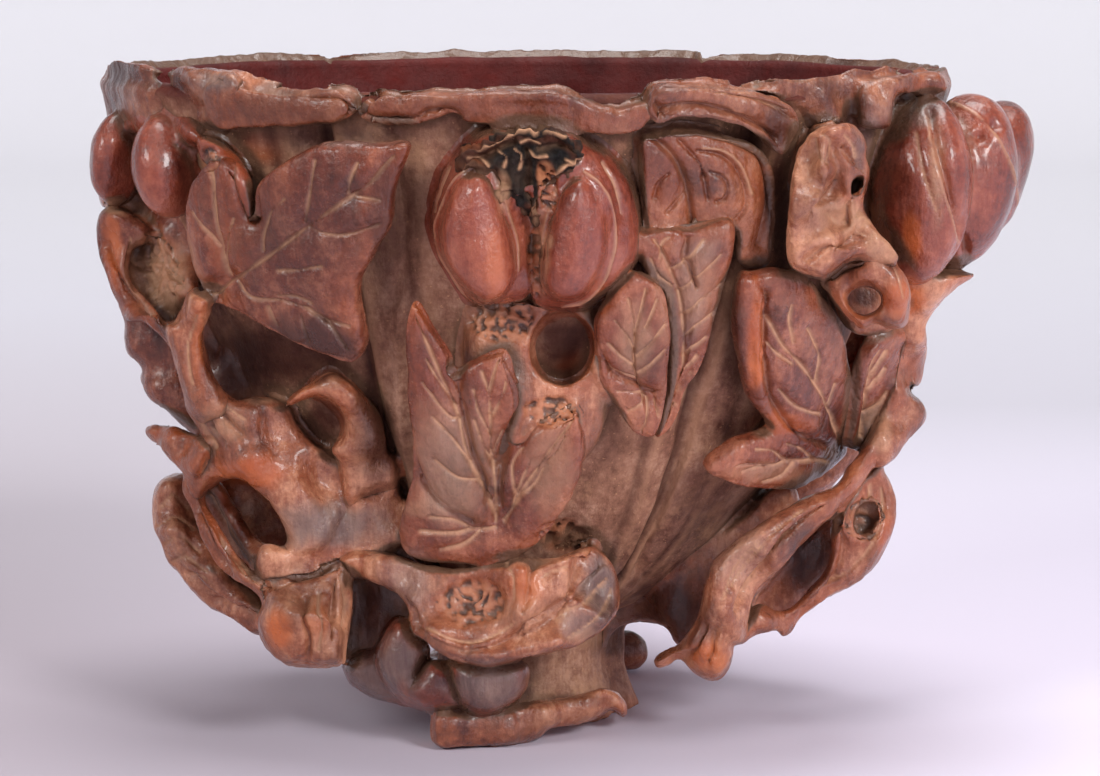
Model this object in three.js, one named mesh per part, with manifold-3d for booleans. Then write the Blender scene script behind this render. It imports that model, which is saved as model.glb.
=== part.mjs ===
// A libation cup carved from one horn. A flaring, petalled bowl stands on a root stump, and is wrapped
// in openwork branches, lobed leaves and split fruit. Each carved motif is a solid of its own, seated
// on its neighbours with a hairline clearance. Millimetres, +Z up, the cup's front faces -Y, and the
// origin is the middle of the stump's flat underside.
import * as THREE from "three";
import { mergeVertices } from "three/addons/utils/BufferGeometryUtils.js";
import Module from "manifold-3d";

const wasm = await Module();
wasm.setup();

// Driving sizes of the bowl
const rimHeight = 102;
const rimHalfWidth = 66;
const rimHalfDepth = 50;
const wallThickness = 4.5;
const bowlFootHeight = 13;
const floorThickness = 11;
const clearance = 0.3;

// How fast the bowl flares, and the grooves that part its petals
const flareShare = 0.39;
const petalCount = 6;
const petalTurn = 32;
const grooveDepthShare = 0.035;
const grooveHalfTurn = 3;
const samplesPerPetal = 8;
const outerRiseShares = [1, 0.86, 0.7, 0.54, 0.4, 0.28, 0.18, 0.1, 0.04, 0.015];
const innerRiseShares = [0, 0.1, 0.26, 0.5, 1];
const innerFloorShare = 0.72;
const leastRiseShare = 0.0001;
const probeShare = 0.01;
const groundSpreadShare = 4;

// Stump and the two foot branches
const stumpHalfWidth = 17;
const stumpHalfDepth = 16;
const stumpReach = 14;
const stumpSides = 16;
const stumpWidthShares = [1, 0.86, 0.86, 1.2];
const stumpHeightShares = [0, 0.25, 0.5, 1];
const footRadius = 3.6;

// Branches, from the thickest to the thinnest
const boleRadius = 6.2;
const trunkRadius = 4.6;
const branchRadius = 3.7;
const strutRadius = 2.9;
const twigRadius = 1.4;
const branchSides = 7;
const stepsPerSpan = 2;
const domeShare = 0.6;

// Leaves: the blade's thickness and crown, and how far its edge stands off the wall
const bladeThickness = 3.2;
const bladeCrown = 1.4;
const lowSeat = 2;
const midSeat = 4.6;
const highSeat = 7.5;
const rootSink = 1;
const leafPoints = 22;
const strapTallShare = 1.7;

// Fruit: half the width, depth and height of a nut, a husk, and the segments of the other fruit
const nutSizes = [5.8, 6.6, 9.7];
const huskSizes = [15, 5.8, 13.4];
const crownSizes = [8.6, 5, 4.4];
const nearSegmentSizes = [6.2, 8, 13.2];
const middleSegmentSizes = [7.6, 9, 14.6];
const farSegmentSizes = [7.2, 9, 12.8];
const smallSegmentSizes = [5.4, 6.4, 8.8];
const berrySizes = [4.8, 4.8, 5];
const stemSizes = [10, 5, 11];
const huskLift = 4.6;
const nutApart = 7.1;
const nutProud = 1.4;
const crownProud = 2.4;
const crownRise = 11.2;
const lobeSides = 11;
const lobeRows = 7;

// Openwork plates: their thickness, how far their faces swell, and how far in from the edge
const thinPlate = 6;
const midPlate = 8;
const thickPlate = 9.5;
const deepPlate = 12;
const flatCrown = 0.4;
const lowCrown = 1.2;
const highCrown = 2;
const edgeRun = 1.2;
const edgeRunShare = 0.24;
const mitreShare = 1.5;

// Rim mouldings: how far they stand out
const flushOut = 1.6;
const stripOut = 3.6;
const panelOut = 4.6;
const stripTurn = 9;
const stripCornerShare = 0.3;

// Drilled holes in the openwork
const stemHoleRadius = 5.3;
const holeAside = 2.6;
const holeRise = 2;
const drillLength = 60;
const drillSides = 12;

// The line of sight that the openwork is drawn along. In shares of the rim's half width, half depth and
// height: where the eye stands, how far the middle ray falls, and how far each pixel turns a ray.
const eyeShares = [0.0576, -11.878, 1.347];
const middlePixels = [550, 388];
const rayFallShare = -0.07065;
const pixelAcrossShare = 0.00020411;
const pixelDeepShare = 0.00003844;
const pixelRiseShare = 0.00013072;
const openworkAwayShare = 11.2;
const pixelSize = rimHalfWidth * pixelAcrossShare * openworkAwayShare;

const degree = Math.PI / 180;
const bowlHeight = rimHeight - bowlFootHeight;
const stumpHeight = bowlFootHeight + stumpReach;

// Colours of the aged horn
const hornMaterial = (color, roughness) =>
  new THREE.MeshStandardMaterial({ color, roughness, metalness: 0 });
const wallHorn = () => hornMaterial(0x7a4a36, 0.62);
const leafHorn = () => hornMaterial(0x8a3f2c, 0.42);
const fruitHorn = () => hornMaterial(0x7d2f22, 0.28);
const branchHorn = () => hornMaterial(0x96502f, 0.48);
const rimHorn = () => hornMaterial(0x7d4430, 0.45);
const crustHorn = () => hornMaterial(0x2c2622, 0.8);

// A solid from points and triangles, turned so that its faces point out.
function solidOf(points, triangles) {
  const vertProperties = new Float32Array(points.flatMap((p) => [p.x, p.y, p.z]));
  const make = (list) =>
    new wasm.Manifold(new wasm.Mesh({ numProp: 3, vertProperties, triVerts: new Uint32Array(list) }));
  const made = make(triangles);
  if (made.volume() > 0) return made;
  const turned = [];
  for (let i = 0; i < triangles.length; i += 3) {
    turned.push(triangles[i], triangles[i + 2], triangles[i + 1]);
  }
  return make(turned);
}

// A solid from one of three.js's own closed geometries.
function solidOfGeometry(geometry) {
  const bare = geometry.clone();
  bare.deleteAttribute("normal");
  bare.deleteAttribute("uv");
  const merged = mergeVertices(bare);
  const places = merged.getAttribute("position");
  const points = [];
  for (let i = 0; i < places.count; i++) points.push(new THREE.Vector3().fromBufferAttribute(places, i));
  return solidOf(points, Array.from(merged.index.array));
}

// A closed skin over rings that all have the same number of points. Each end is closed with the triangles
// given, or else with a fan.
function skin(rings, cap = null) {
  const around = rings[0].length;
  const points = rings.flat();
  const triangles = [];
  for (let r = 0; r + 1 < rings.length; r++) {
    for (let i = 0; i < around; i++) {
      const next = (i + 1) % around;
      const low = r * around;
      const high = low + around;
      triangles.push(low + i, low + next, high + next, low + i, high + next, high + i);
    }
  }
  const fan = (ring, first, flip) => {
    const middle = new THREE.Vector3();
    ring.forEach((p) => middle.addScaledVector(p, 1 / around));
    points.push(middle);
    for (let i = 0; i < around; i++) {
      const next = (i + 1) % around;
      const pair = flip ? [first + next, first + i] : [first + i, first + next];
      triangles.push(points.length - 1, ...pair);
    }
  };
  const last = (rings.length - 1) * around;
  if (cap) {
    cap.forEach(([a, b, c]) => triangles.push(a, c, b, last + a, last + b, last + c));
  } else {
    fan(rings[0], 0, true);
    fan(rings.at(-1), last, false);
  }
  return solidOf(points, triangles);
}

// How wide the bowl is at a height, as a share of its rim.
function flare(height) {
  return Math.max((height - bowlFootHeight) / bowlHeight, leastRiseShare) ** flareShare;
}

// A point round the bowl at a height: bearing in degrees from the front towards +X.
function aroundBowl(bearing, height, share, grow = 0) {
  const across = (rimHalfWidth * share + grow) * Math.sin(bearing * degree);
  const deep = -(rimHalfDepth * share + grow) * Math.cos(bearing * degree);
  return new THREE.Vector3(across, deep, height);
}

// A point at some lift outside the bowl, square to its wall.
function onBowl(bearing, upShare, lift) {
  const place = (turn, share) => aroundBowl(turn, share * rimHeight, flare(share * rimHeight));
  const along = place(bearing + 1, upShare).sub(place(bearing - 1, upShare));
  const upwards = place(bearing, upShare + probeShare).sub(place(bearing, upShare - probeShare));
  return place(bearing, upShare).addScaledVector(along.cross(upwards).normalize(), lift);
}

// A point anywhere, in shares of the rim's half width, half depth and height.
function at([acrossShare, deepShare, upShare]) {
  return new THREE.Vector3(acrossShare * rimHalfWidth, deepShare * rimHalfDepth, upShare * rimHeight);
}

// A branch: round or tall in section, tapering through the radii given for its points, with domed ends.
function branch({ routeShares, radii, tallShare = 1 }, grow = 0) {
  const curve = new THREE.CatmullRomCurve3(routeShares.map(at), false, "centripetal");
  const steps = (routeShares.length - 1) * stepsPerSpan;
  const frames = curve.computeFrenetFrames(steps, false);
  const ring = (k, radius, along) => {
    const middle = curve.getPointAt(k / steps).addScaledVector(frames.tangents[k], along);
    return Array.from({ length: branchSides }, (_, i) => {
      const turn = (2 * Math.PI * i) / branchSides;
      const offset = frames.normals[k].clone().multiplyScalar(radius * Math.cos(turn));
      offset.addScaledVector(frames.binormals[k], radius * Math.sin(turn));
      offset.z *= tallShare;
      return offset.add(middle);
    });
  };
  const radiusAt = (k) => {
    const place = curve.getUtoTmapping(k / steps) * (radii.length - 1);
    const low = Math.min(Math.floor(place), radii.length - 2);
    return THREE.MathUtils.lerp(radii[low], radii[low + 1], place - low) + grow;
  };
  const first = radiusAt(0);
  const last = radiusAt(steps);
  const rings = [ring(0, first * domeShare, -first * domeShare - grow)];
  for (let k = 0; k <= steps; k++) rings.push(ring(k, radiusAt(k), 0));
  rings.push(ring(steps, last * domeShare, last * domeShare + grow));
  return skin(rings);
}

// An egg-shaped lobe: half sizes across, outwards and up, faced to a bearing and leant over to its right.
function lobe({ middle, sizes, bearing = 0, lean = 0 }, grow = 0) {
  const ball = new THREE.SphereGeometry(1, lobeSides, lobeRows);
  ball.rotateX(Math.PI / 2);
  ball.scale(...sizes.map((size) => size + grow));
  ball.rotateY(lean * degree);
  ball.rotateZ(bearing * degree);
  ball.translate(middle.x, middle.y, middle.z);
  return solidOfGeometry(ball);
}

// A leaf blade over the bowl. Its outline is in shares of its length: to its right, then along it. The
// edge stands off the wall, undercut, and the middle of the back runs down to the wall as one root.
function leaf(shape, grow = 0) {
  const { bearing, upShare, turn, lengthShare, centreShare, outlineShares, seat = midSeat } = shape;
  const length = lengthShare * rimHeight;
  const curve = new THREE.CatmullRomCurve3(
    outlineShares.map(([right, along]) => new THREE.Vector3(right, along, 0)),
    true,
    "centripetal",
  );
  const outline = curve.getPoints(leafPoints).slice(0, leafPoints);
  const place = (right, along, lift) => {
    const across = right * Math.cos(turn * degree) + along * Math.sin(turn * degree);
    const rise = along * Math.cos(turn * degree) - right * Math.sin(turn * degree);
    const share = upShare + rise / rimHeight;
    const perDegree = onBowl(bearing, share, 0).distanceTo(onBowl(bearing + 1, share, 0));
    return onBowl(bearing + across / perDegree, share, lift);
  };
  const ringOf = (reachShare, lift, spread) =>
    outline.map((point) => {
      const right = (point.x - centreShare[0]) * length;
      const along = (point.y - centreShare[1]) * length;
      const drawn = reachShare * (1 + spread / Math.hypot(right, along));
      return place(centreShare[0] * length + right * drawn, centreShare[1] * length + along * drawn, lift);
    });
  const low = seat - grow;
  const high = seat + bladeThickness + grow;
  const [rootShare, neckShare, crestShare] = [0.4, 0.62, 0.66];
  return skin([
    ringOf(rootShare, -rootSink, grow),
    ringOf(neckShare, low / 2, grow),
    ringOf(1, low, grow),
    ringOf(1, high, grow),
    ringOf(crestShare, high + bladeCrown / 2, 0),
    ringOf(rootShare, high + bladeCrown, 0),
  ]);
}

// Where the line of sight through a pixel crosses the upright plane at a share of the rim's half depth.
function seenAt([pixelX, pixelY], deepShare) {
  const rise = middlePixels[1] - pixelY;
  const away = (deepShare - eyeShares[1]) / (1 + rise * pixelDeepShare);
  const acrossShare = eyeShares[0] + away * (pixelX - middlePixels[0]) * pixelAcrossShare;
  const upShare = eyeShares[2] + away * (rayFallShare + rise * pixelRiseShare);
  return at([acrossShare, deepShare, upShare]);
}

function crossOf([ax, ay], [bx, by]) {
  return ax * by - ay * bx;
}

function turningOf(outline) {
  const crosses = outline.map((point, i) => crossOf(point, outline[(i + 1) % outline.length]));
  return Math.sign(crosses.reduce((sum, cross) => sum + cross, 0));
}

// How far a point lies from a straight edge.
function edgeDistance([x, y], [ax, ay], [bx, by]) {
  const span = (bx - ax) ** 2 + (by - ay) ** 2;
  const share = THREE.MathUtils.clamp(((x - ax) * (bx - ax) + (y - ay) * (by - ay)) / span, 0, 1);
  return Math.hypot(x - ax - share * (bx - ax), y - ay - share * (by - ay));
}

// An outline with its edges moved out, or in where the spread is negative. Narrow places move in less.
function spreadOutline(outline, spread) {
  const count = outline.length;
  const turning = turningOf(outline);
  const normalOf = (i) => {
    const [ax, ay] = outline[i % count];
    const [bx, by] = outline[(i + 1) % count];
    const length = Math.hypot(bx - ax, by - ay);
    return [(turning * (by - ay)) / length, (turning * (ax - bx)) / length];
  };
  return outline.map((point, i) => {
    const [beforeX, beforeY] = normalOf(i + count - 1);
    const [afterX, afterY] = normalOf(i);
    const sumX = beforeX + afterX;
    const sumY = beforeY + afterY;
    const length = Math.hypot(sumX, sumY);
    let reach = spread * Math.min(2 / length, mitreShare);
    if (spread < 0) {
      const room = outline.reduce((least, start, k) => {
        const next = (k + 1) % count;
        return k === i || next === i ? least : Math.min(least, edgeDistance(point, start, outline[next]));
      }, Infinity);
      reach = -Math.min(-reach, room * edgeRunShare);
    }
    return [point[0] + (sumX / length) * reach, point[1] + (sumY / length) * reach];
  });
}

// Openwork cut across the line of sight: an outline in pixels, and pixels with the depth of the face
// there. The face swells by its crown a little in from the edge.
function plate({ outlinePixels, faceShares, thickness, crown }, grow = 0) {
  const faceAt = ([x, y]) => {
    const weights = faceShares.map(([px, py]) => 1 / (1 + (x - px) ** 2 + (y - py) ** 2));
    const total = weights.reduce((sum, weight) => sum + weight, 0);
    return weights.reduce((sum, weight, i) => sum + (weight * faceShares[i][2]) / total, 0);
  };
  const full = spreadOutline(outlinePixels, grow / pixelSize);
  const inset = spreadOutline(outlinePixels, (grow - edgeRun) / pixelSize);
  const ring = (outline, back) => {
    return outline.map((pixel, i) => seenAt(pixel, faceAt(outlinePixels[i]) + back / rimHalfDepth));
  };
  const turning = turningOf(outlinePixels);
  const keepsTurning = (corners, outline) => turningOf(corners.map((k) => outline[k])) === turning;
  const capOf = (outline) => {
    const contour = outline.map(([x, y]) => new THREE.Vector2(x, y));
    return THREE.ShapeUtils.triangulateShape(contour, []).map((corners) => {
      return keepsTurning(corners, outline) ? corners : corners.toReversed();
    });
  };
  const rings = [ring(full, thickness + grow), ring(full, -grow), ring(inset, -crown - grow)];
  const caps = [capOf(full), capOf(inset)];
  const keepsBoth = (corners) => keepsTurning(corners, full) && keepsTurning(corners, inset);
  const fits = (cap) => cap.every(keepsBoth);
  const cap = caps.find((found) => found.length === full.length - 2 && fits(found)) ?? caps[0];
  return skin(rings, cap);
}

// A moulding along the rim between two bearings, from a low to a high share of the rim's height.
function rimStrip({ from, to, lowShare, highShare, out = stripOut }, grow = 0) {
  const count = Math.max(Math.round((to - from) / stripTurn), 2);
  const raiseShare = grow / rimHeight;
  const tallShare = (highShare - lowShare) * stripCornerShare;
  const face = out + grow;
  const shoulder = face * (1 - stripCornerShare);
  const rings = [];
  for (let k = 0; k <= count; k++) {
    const past = k === 0 ? -grow : k === count ? grow : 0;
    const bearing = from + ((to - from) * k) / count + past;
    rings.push([
      onBowl(bearing, lowShare - raiseShare, -rootSink),
      onBowl(bearing, lowShare - raiseShare, shoulder),
      onBowl(bearing, lowShare + tallShare, face),
      onBowl(bearing, highShare - tallShare, face),
      onBowl(bearing, highShare + raiseShare, shoulder),
      onBowl(bearing, highShare + raiseShare, -rootSink),
    ]);
  }
  return skin(rings);
}

// A drill along a direction, centred on a point.
function drill(middle, direction, radius) {
  const bit = new THREE.CylinderGeometry(radius, radius, drillLength, drillSides);
  const turn = new THREE.Quaternion().setFromUnitVectors(new THREE.Vector3(0, 1, 0), direction.normalize());
  bit.applyQuaternion(turn);
  bit.translate(middle.x, middle.y, middle.z);
  return solidOfGeometry(bit);
}

// Everything below the surface that the cup stands on.
function belowFloor() {
  const wide = rimHalfWidth * groundSpreadShare;
  const slab = new THREE.BoxGeometry(wide, wide, bowlFootHeight);
  slab.translate(0, 0, -bowlFootHeight / 2);
  return solidOfGeometry(slab);
}

// Assembly: each new piece is cut back by the pieces already placed, grown by the clearance.
const cup = new THREE.Group();
const placed = [];
const ground = belowFloor();

function largestBody(solid) {
  return solid.decompose().reduce((best, body) => (body.volume() > best.volume() ? body : best));
}

function boxesMeet(a, b) {
  return [0, 1, 2].every((i) => a.min[i] <= b.max[i] && b.min[i] <= a.max[i]);
}

function geometryOf(solid) {
  const mesh = solid.getMesh();
  const geometry = new THREE.BufferGeometry();
  geometry.setAttribute("position", new THREE.BufferAttribute(new Float32Array(mesh.vertProperties), 3));
  geometry.setIndex(new THREE.BufferAttribute(new Uint32Array(mesh.triVerts), 1));
  const flat = geometry.toNonIndexed();
  flat.computeVertexNormals();
  return flat;
}

function add(name, material, shape, cutterShape = shape) {
  let solid = shape(0);
  const box = solid.boundingBox();
  for (const other of placed) {
    if (boxesMeet(box, other.box)) solid = solid.subtract(other.cutter);
  }
  solid = largestBody(solid.subtract(ground));
  const cutter = cutterShape(clearance).add(solid);
  placed.push({ cutter, box: cutter.boundingBox() });
  const mesh = new THREE.Mesh(geometryOf(solid), material);
  mesh.name = name;
  cup.add(mesh);
}

// The bowl, hollow over a thick round floor, with three samples in each groove between its petals.
function hollowBowl() {
  const pitch = 360 / petalCount;
  const span = pitch - 2 * grooveHalfTurn;
  const stops = [];
  for (let petal = 0; petal < petalCount; petal++) {
    const groove = petalTurn + petal * pitch;
    stops.push({ bearing: groove, share: 1 - grooveDepthShare });
    for (let k = 0; k < samplesPerPetal - 1; k++) {
      stops.push({ bearing: groove + grooveHalfTurn + (span * k) / (samplesPerPetal - 2), share: 1 });
    }
  }
  const inner = (riseShare, reachShare) => {
    const low = bowlFootHeight + floorThickness;
    const height = low + riseShare * (rimHeight - low);
    const thinnest = wallThickness / flare(height);
    const reach = flare(height) * reachShare;
    return stops.map(({ bearing }) => {
      const across = (rimHalfWidth - thinnest) * reach * Math.sin(bearing * degree);
      const deep = -(rimHalfDepth - thinnest) * reach * Math.cos(bearing * degree);
      return new THREE.Vector3(across, deep, height);
    });
  };
  const outer = (riseShare) => {
    const height = bowlFootHeight + riseShare * bowlHeight;
    return stops.map(({ bearing, share }) => aroundBowl(bearing, height, flare(height) * share));
  };
  const rings = [inner(0, innerFloorShare)];
  innerRiseShares.slice(1).forEach((share) => rings.push(inner(share, 1)));
  outerRiseShares.forEach((share) => rings.push(outer(share)));
  return skin(rings);
}

// The same bowl filled in, which cuts back whatever is seated on it.
function filledBowl(grow) {
  const count = petalCount * samplesPerPetal;
  const bearings = Array.from({ length: count }, (_, i) => (i * 360) / count);
  const ring = (riseShare, raise) => {
    const height = bowlFootHeight + riseShare * bowlHeight;
    return bearings.map((bearing) => aroundBowl(bearing, height + raise, flare(height), grow));
  };
  return skin([ring(1, grow), ...outerRiseShares.map((share) => ring(share, -grow))]);
}

add("cup_wall", wallHorn(), hollowBowl, filledBowl);

// The root stump under the bowl, waisted and flat underneath.
function stump(grow) {
  return skin(
    stumpWidthShares.map((widthShare, row) => {
      const raise = row === 0 ? -grow : grow;
      return Array.from({ length: stumpSides }, (_, i) => {
        const turn = (2 * Math.PI * i) / stumpSides;
        return new THREE.Vector3(
          (stumpHalfWidth * widthShare + grow) * Math.sin(turn),
          -(stumpHalfDepth * widthShare + grow) * Math.cos(turn),
          stumpHeight * stumpHeightShares[row] + raise,
        );
      });
    }),
  );
}
add("base_stump", wallHorn(), stump);

// The two bent branches that lie under the cup, one each side of the stump.
function footBranch(name, placeShares) {
  const acrossShare = stumpHalfWidth / rimHalfWidth;
  const deepShare = stumpHalfDepth / rimHalfDepth;
  const upShare = (footRadius - clearance) / rimHeight;
  const routeShares = placeShares.map(([across, deep]) => [across * acrossShare, deep * deepShare, upShare]);
  const radii = [footRadius, footRadius, footRadius, strutRadius];
  add(name, branchHorn(), (grow) => branch({ routeShares, radii }, grow));
}
footBranch("front_foot_branch", [[-0.95, -1.78], [-0.1, -1.45], [0.6, -0.9], [0.9, -0.3]]);
footBranch("rear_foot_branch", [[1, 1.56], [0.08, 1.38], [-0.62, 1.06], [-0.97, 0.3]]);

// The openwork, as drawn along the line of sight: each piece is one plate or several joined.
const openwork = {
  left_leaf_stem: [
    {
      outlinePixels: [
        [214, 296], [192, 291], [184, 303], [177, 321], [166, 325], [166, 342], [172, 362], [178, 384],
        [186, 405], [205, 422], [226, 412], [222, 392], [214, 372], [208, 350], [206, 333], [212, 314],
      ],
      faceShares: [
        [200, 300, -0.7], [180, 345, -0.62], [198, 400, -0.62],
      ],
      thickness: midPlate,
      crown: highCrown,
    },
  ],
  left_cross_branch: [
    {
      outlinePixels: [
        [184, 400], [196, 425], [208, 450], [198, 470], [190, 482], [198, 497], [212, 487], [225, 480],
        [245, 482], [262, 495], [277, 516], [286, 540], [284, 556], [300, 562], [325, 552], [345, 525],
        [354, 500], [350, 478], [342, 460], [328, 450], [312, 440], [298, 422], [289, 404], [262, 396],
        [240, 399], [226, 392], [210, 380],
      ],
      faceShares: [
        [200, 420, -0.6], [240, 430, -0.62], [285, 430, -0.56], [250, 465, -0.64], [300, 500, -0.64],
        [330, 480, -0.54], [300, 550, -0.62], [205, 480, -0.48],
      ],
      thickness: thickPlate,
      crown: lowCrown,
    },
  ],
  left_arch_branch: [
    {
      outlinePixels: [
        [287, 405], [294, 394], [310, 384], [328, 371], [345, 378], [360, 391], [373, 406], [382, 425],
        [386, 446], [396, 458], [402, 474], [396, 488], [380, 492], [360, 498], [348, 506], [342, 486],
        [338, 462], [332, 450], [342, 435], [344, 420], [336, 406], [320, 398], [304, 399],
      ],
      faceShares: [
        [300, 392, -0.72], [345, 398, -0.74], [368, 430, -0.7], [385, 470, -0.6], [350, 480, -0.6],
        [345, 440, -0.66],
      ],
      thickness: thickPlate,
      crown: highCrown,
    },
  ],
  left_outer_strut: [
    {
      outlinePixels: [
        [186, 474], [200, 490], [210, 510], [224, 535], [240, 556], [256, 574], [268, 584], [266, 606],
        [256, 596], [240, 584], [222, 572], [208, 552], [198, 528], [190, 505], [182, 488],
      ],
      faceShares: [
        [192, 490, -0.46], [215, 540, -0.54], [258, 590, -0.62],
      ],
      thickness: thinPlate,
      crown: lowCrown,
    },
    {
      outlinePixels: [
        [200, 486], [222, 482], [236, 508], [254, 535], [276, 552], [268, 580], [244, 566], [220, 530],
      ],
      faceShares: [
        [214, 490, -0.36], [240, 530, -0.42], [266, 566, -0.5],
      ],
      thickness: midPlate,
      crown: lowCrown,
    },
  ],
  left_inner_strut: [
    {
      outlinePixels: [
        [262, 545], [290, 548], [318, 556], [326, 575], [300, 584], [272, 584], [256, 572],
      ],
      faceShares: [
        [280, 560, -0.62], [310, 570, -0.6],
      ],
      thickness: thickPlate,
      crown: lowCrown,
    },
  ],
  left_thorn_bud: [
    {
      outlinePixels: [
        [143, 432], [149, 424], [162, 423], [178, 426], [196, 434], [212, 447], [207, 460], [196, 478],
        [184, 472], [170, 458], [156, 446],
      ],
      faceShares: [
        [147, 430, -0.34], [180, 445, -0.44], [204, 455, -0.56],
      ],
      thickness: thinPlate,
      crown: lowCrown,
    },
  ],
  left_scale_leaf: [
    {
      outlinePixels: [
        [172, 472], [158, 480], [151, 500], [153, 526], [162, 546], [167, 562], [177, 572], [190, 590],
        [212, 609], [237, 623], [258, 634], [280, 625], [300, 600], [306, 560], [292, 515], [252, 476],
        [212, 474], [190, 472],
      ],
      faceShares: [
        [160, 500, -0.24], [175, 540, -0.32], [205, 582, -0.38], [245, 615, -0.44], [275, 560, -0.12],
        [240, 500, -0.08], [200, 500, -0.18],
      ],
      thickness: midPlate,
      crown: highCrown,
    },
  ],
  left_hollow_stub: [
    {
      outlinePixels: [
        [262, 582], [272, 575], [290, 568], [308, 569], [326, 561], [344, 558], [352, 575], [354, 600],
        [352, 628], [348, 652], [345, 665], [325, 670], [302, 668], [285, 665], [271, 654], [261, 640],
        [257, 622], [262, 604],
      ],
      faceShares: [
        [275, 640, -0.68], [300, 620, -0.74], [325, 625, -0.72], [345, 600, -0.64], [300, 578, -0.62],
        [325, 572, -0.62],
      ],
      thickness: deepPlate,
      crown: highCrown,
    },
  ],
  left_root: [
    {
      outlinePixels: [
        [338, 548], [370, 544], [410, 548], [440, 600], [430, 640], [400, 660], [362, 655], [340, 630],
      ],
      faceShares: [
        [350, 600, -0.44], [400, 600, -0.48], [375, 550, -0.48],
      ],
      thickness: thickPlate,
      crown: flatCrown,
    },
    {
      outlinePixels: [
        [284, 554], [302, 540], [320, 525], [343, 512], [352, 498], [376, 490], [398, 484], [404, 496],
        [420, 505], [410, 525], [406, 545], [384, 556], [360, 558], [340, 564], [318, 572], [290, 576],
        [266, 584], [268, 568],
      ],
      faceShares: [
        [300, 555, -0.6], [345, 530, -0.58], [398, 498, -0.58], [400, 545, -0.62],
      ],
      thickness: deepPlate,
      crown: lowCrown,
    },
  ],
  left_edge_leaf: [
    {
      outlinePixels: [
        [103, 209], [96, 222], [95, 240], [101, 264], [108, 285], [117, 305], [126, 322], [142, 322],
        [156, 334], [168, 342], [180, 326], [194, 300], [198, 286], [188, 292], [179, 312], [167, 320],
        [155, 313], [140, 298], [128, 285], [122, 268], [127, 250], [140, 243], [150, 238], [147, 226],
        [134, 215], [119, 208],
      ],
      faceShares: [
        [98, 235, -0.32], [112, 285, -0.38], [130, 220, -0.36], [165, 330, -0.56], [190, 300, -0.66],
      ],
      thickness: midPlate,
      crown: lowCrown,
    },
    {
      outlinePixels: [
        [116, 226], [150, 216], [188, 220], [200, 288], [182, 320], [165, 326], [138, 302], [118, 276],
      ],
      faceShares: [
        [130, 240, -0.24], [130, 285, -0.3], [170, 240, -0.38], [185, 290, -0.54], [160, 310, -0.44],
      ],
      thickness: midPlate,
      crown: flatCrown,
    },
  ],
  left_rear_leaf: [
    {
      outlinePixels: [
        [116, 300], [123, 322], [123, 338], [129, 354], [141, 367], [141, 382], [150, 401], [164, 411],
        [178, 422], [194, 424], [186, 398], [174, 364], [164, 336], [152, 310], [140, 300],
      ],
      faceShares: [
        [126, 320, -0.24], [135, 360, -0.26], [160, 400, -0.3], [165, 345, -0.28],
      ],
      thickness: thinPlate,
      crown: highCrown,
    },
  ],
  front_curled_leaf: [
    {
      outlinePixels: [
        [340, 560], [354, 551], [380, 553], [404, 557], [430, 566], [470, 566], [520, 558], [548, 558],
        [574, 548], [592, 543], [604, 552], [616, 570], [622, 596], [617, 616], [604, 632], [588, 641],
        [566, 652], [530, 657], [492, 667], [470, 665], [448, 659], [426, 642], [412, 632], [407, 612],
        [398, 596], [380, 585], [352, 576],
      ],
      faceShares: [
        [350, 563, -0.62], [395, 572, -0.68], [412, 610, -0.74], [438, 642, -0.82], [480, 655, -0.84],
        [540, 646, -0.84], [590, 622, -0.78], [614, 590, -0.68], [596, 556, -0.7], [560, 565, -0.8],
        [520, 585, -0.84], [524, 615, -0.86], [470, 585, -0.72], [445, 600, -0.74], [490, 605, -0.76],
        [430, 575, -0.72], [565, 605, -0.82],
      ],
      thickness: deepPlate,
      crown: highCrown,
    },
  ],
  right_branch: [
    {
      outlinePixels: [
        [872, 438], [852, 462], [836, 484], [800, 500], [769, 516], [740, 536], [716, 556], [705, 580],
        [700, 602], [692, 625], [680, 641], [664, 650], [653, 659], [657, 668], [670, 666], [680, 660],
        [690, 670], [701, 678], [716, 680], [727, 671], [733, 655], [733, 646], [742, 640], [748, 622],
        [752, 602], [766, 583], [782, 568], [796, 551], [812, 535], [832, 519], [844, 508], [856, 492],
        [868, 474], [880, 455],
      ],
      faceShares: [
        [866, 458, -0.44], [822, 505, -0.54], [770, 550, -0.6], [728, 600, -0.6], [708, 645, -0.58],
        [665, 658, -0.52], [850, 490, -0.48], [760, 585, -0.54],
      ],
      thickness: thickPlate,
      crown: highCrown,
    },
  ],
  right_lower_branch: [
    {
      outlinePixels: [
        [860, 480], [878, 465], [886, 470], [893, 486], [897, 506], [893, 530], [885, 552], [872, 571],
        [855, 585], [830, 598], [815, 610], [800, 622], [791, 634], [782, 638], [775, 632], [756, 635],
        [740, 642], [746, 620], [758, 604], [776, 610], [792, 604], [806, 590], [820, 575], [830, 552],
        [830, 532], [836, 518], [848, 500],
      ],
      faceShares: [
        [885, 500, -0.3], [866, 560, -0.36], [800, 612, -0.4], [752, 628, -0.48], [840, 525, -0.44],
        [868, 515, -0.34],
      ],
      thickness: midPlate,
      crown: lowCrown,
    },
    {
      outlinePixels: [
        [764, 606], [780, 570], [806, 534], [836, 512], [852, 540], [846, 580], [812, 608], [786, 616],
      ],
      faceShares: [
        [790, 590, -0.26], [825, 545, -0.24],
      ],
      thickness: thickPlate,
      crown: flatCrown,
    },
    {
      outlinePixels: [
        [598, 612], [620, 590], [660, 570], [700, 545], [740, 515], [785, 480], [800, 505], [790, 560],
        [760, 600],
        [742, 640], [706, 648], [690, 650], [674, 642], [664, 626], [640, 621], [618, 628], [602, 650],
      ],
      faceShares: [
        [620, 620, -0.12], [690, 610, -0.24], [770, 540, -0.24], [770, 500, -0.24],
      ],
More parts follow.
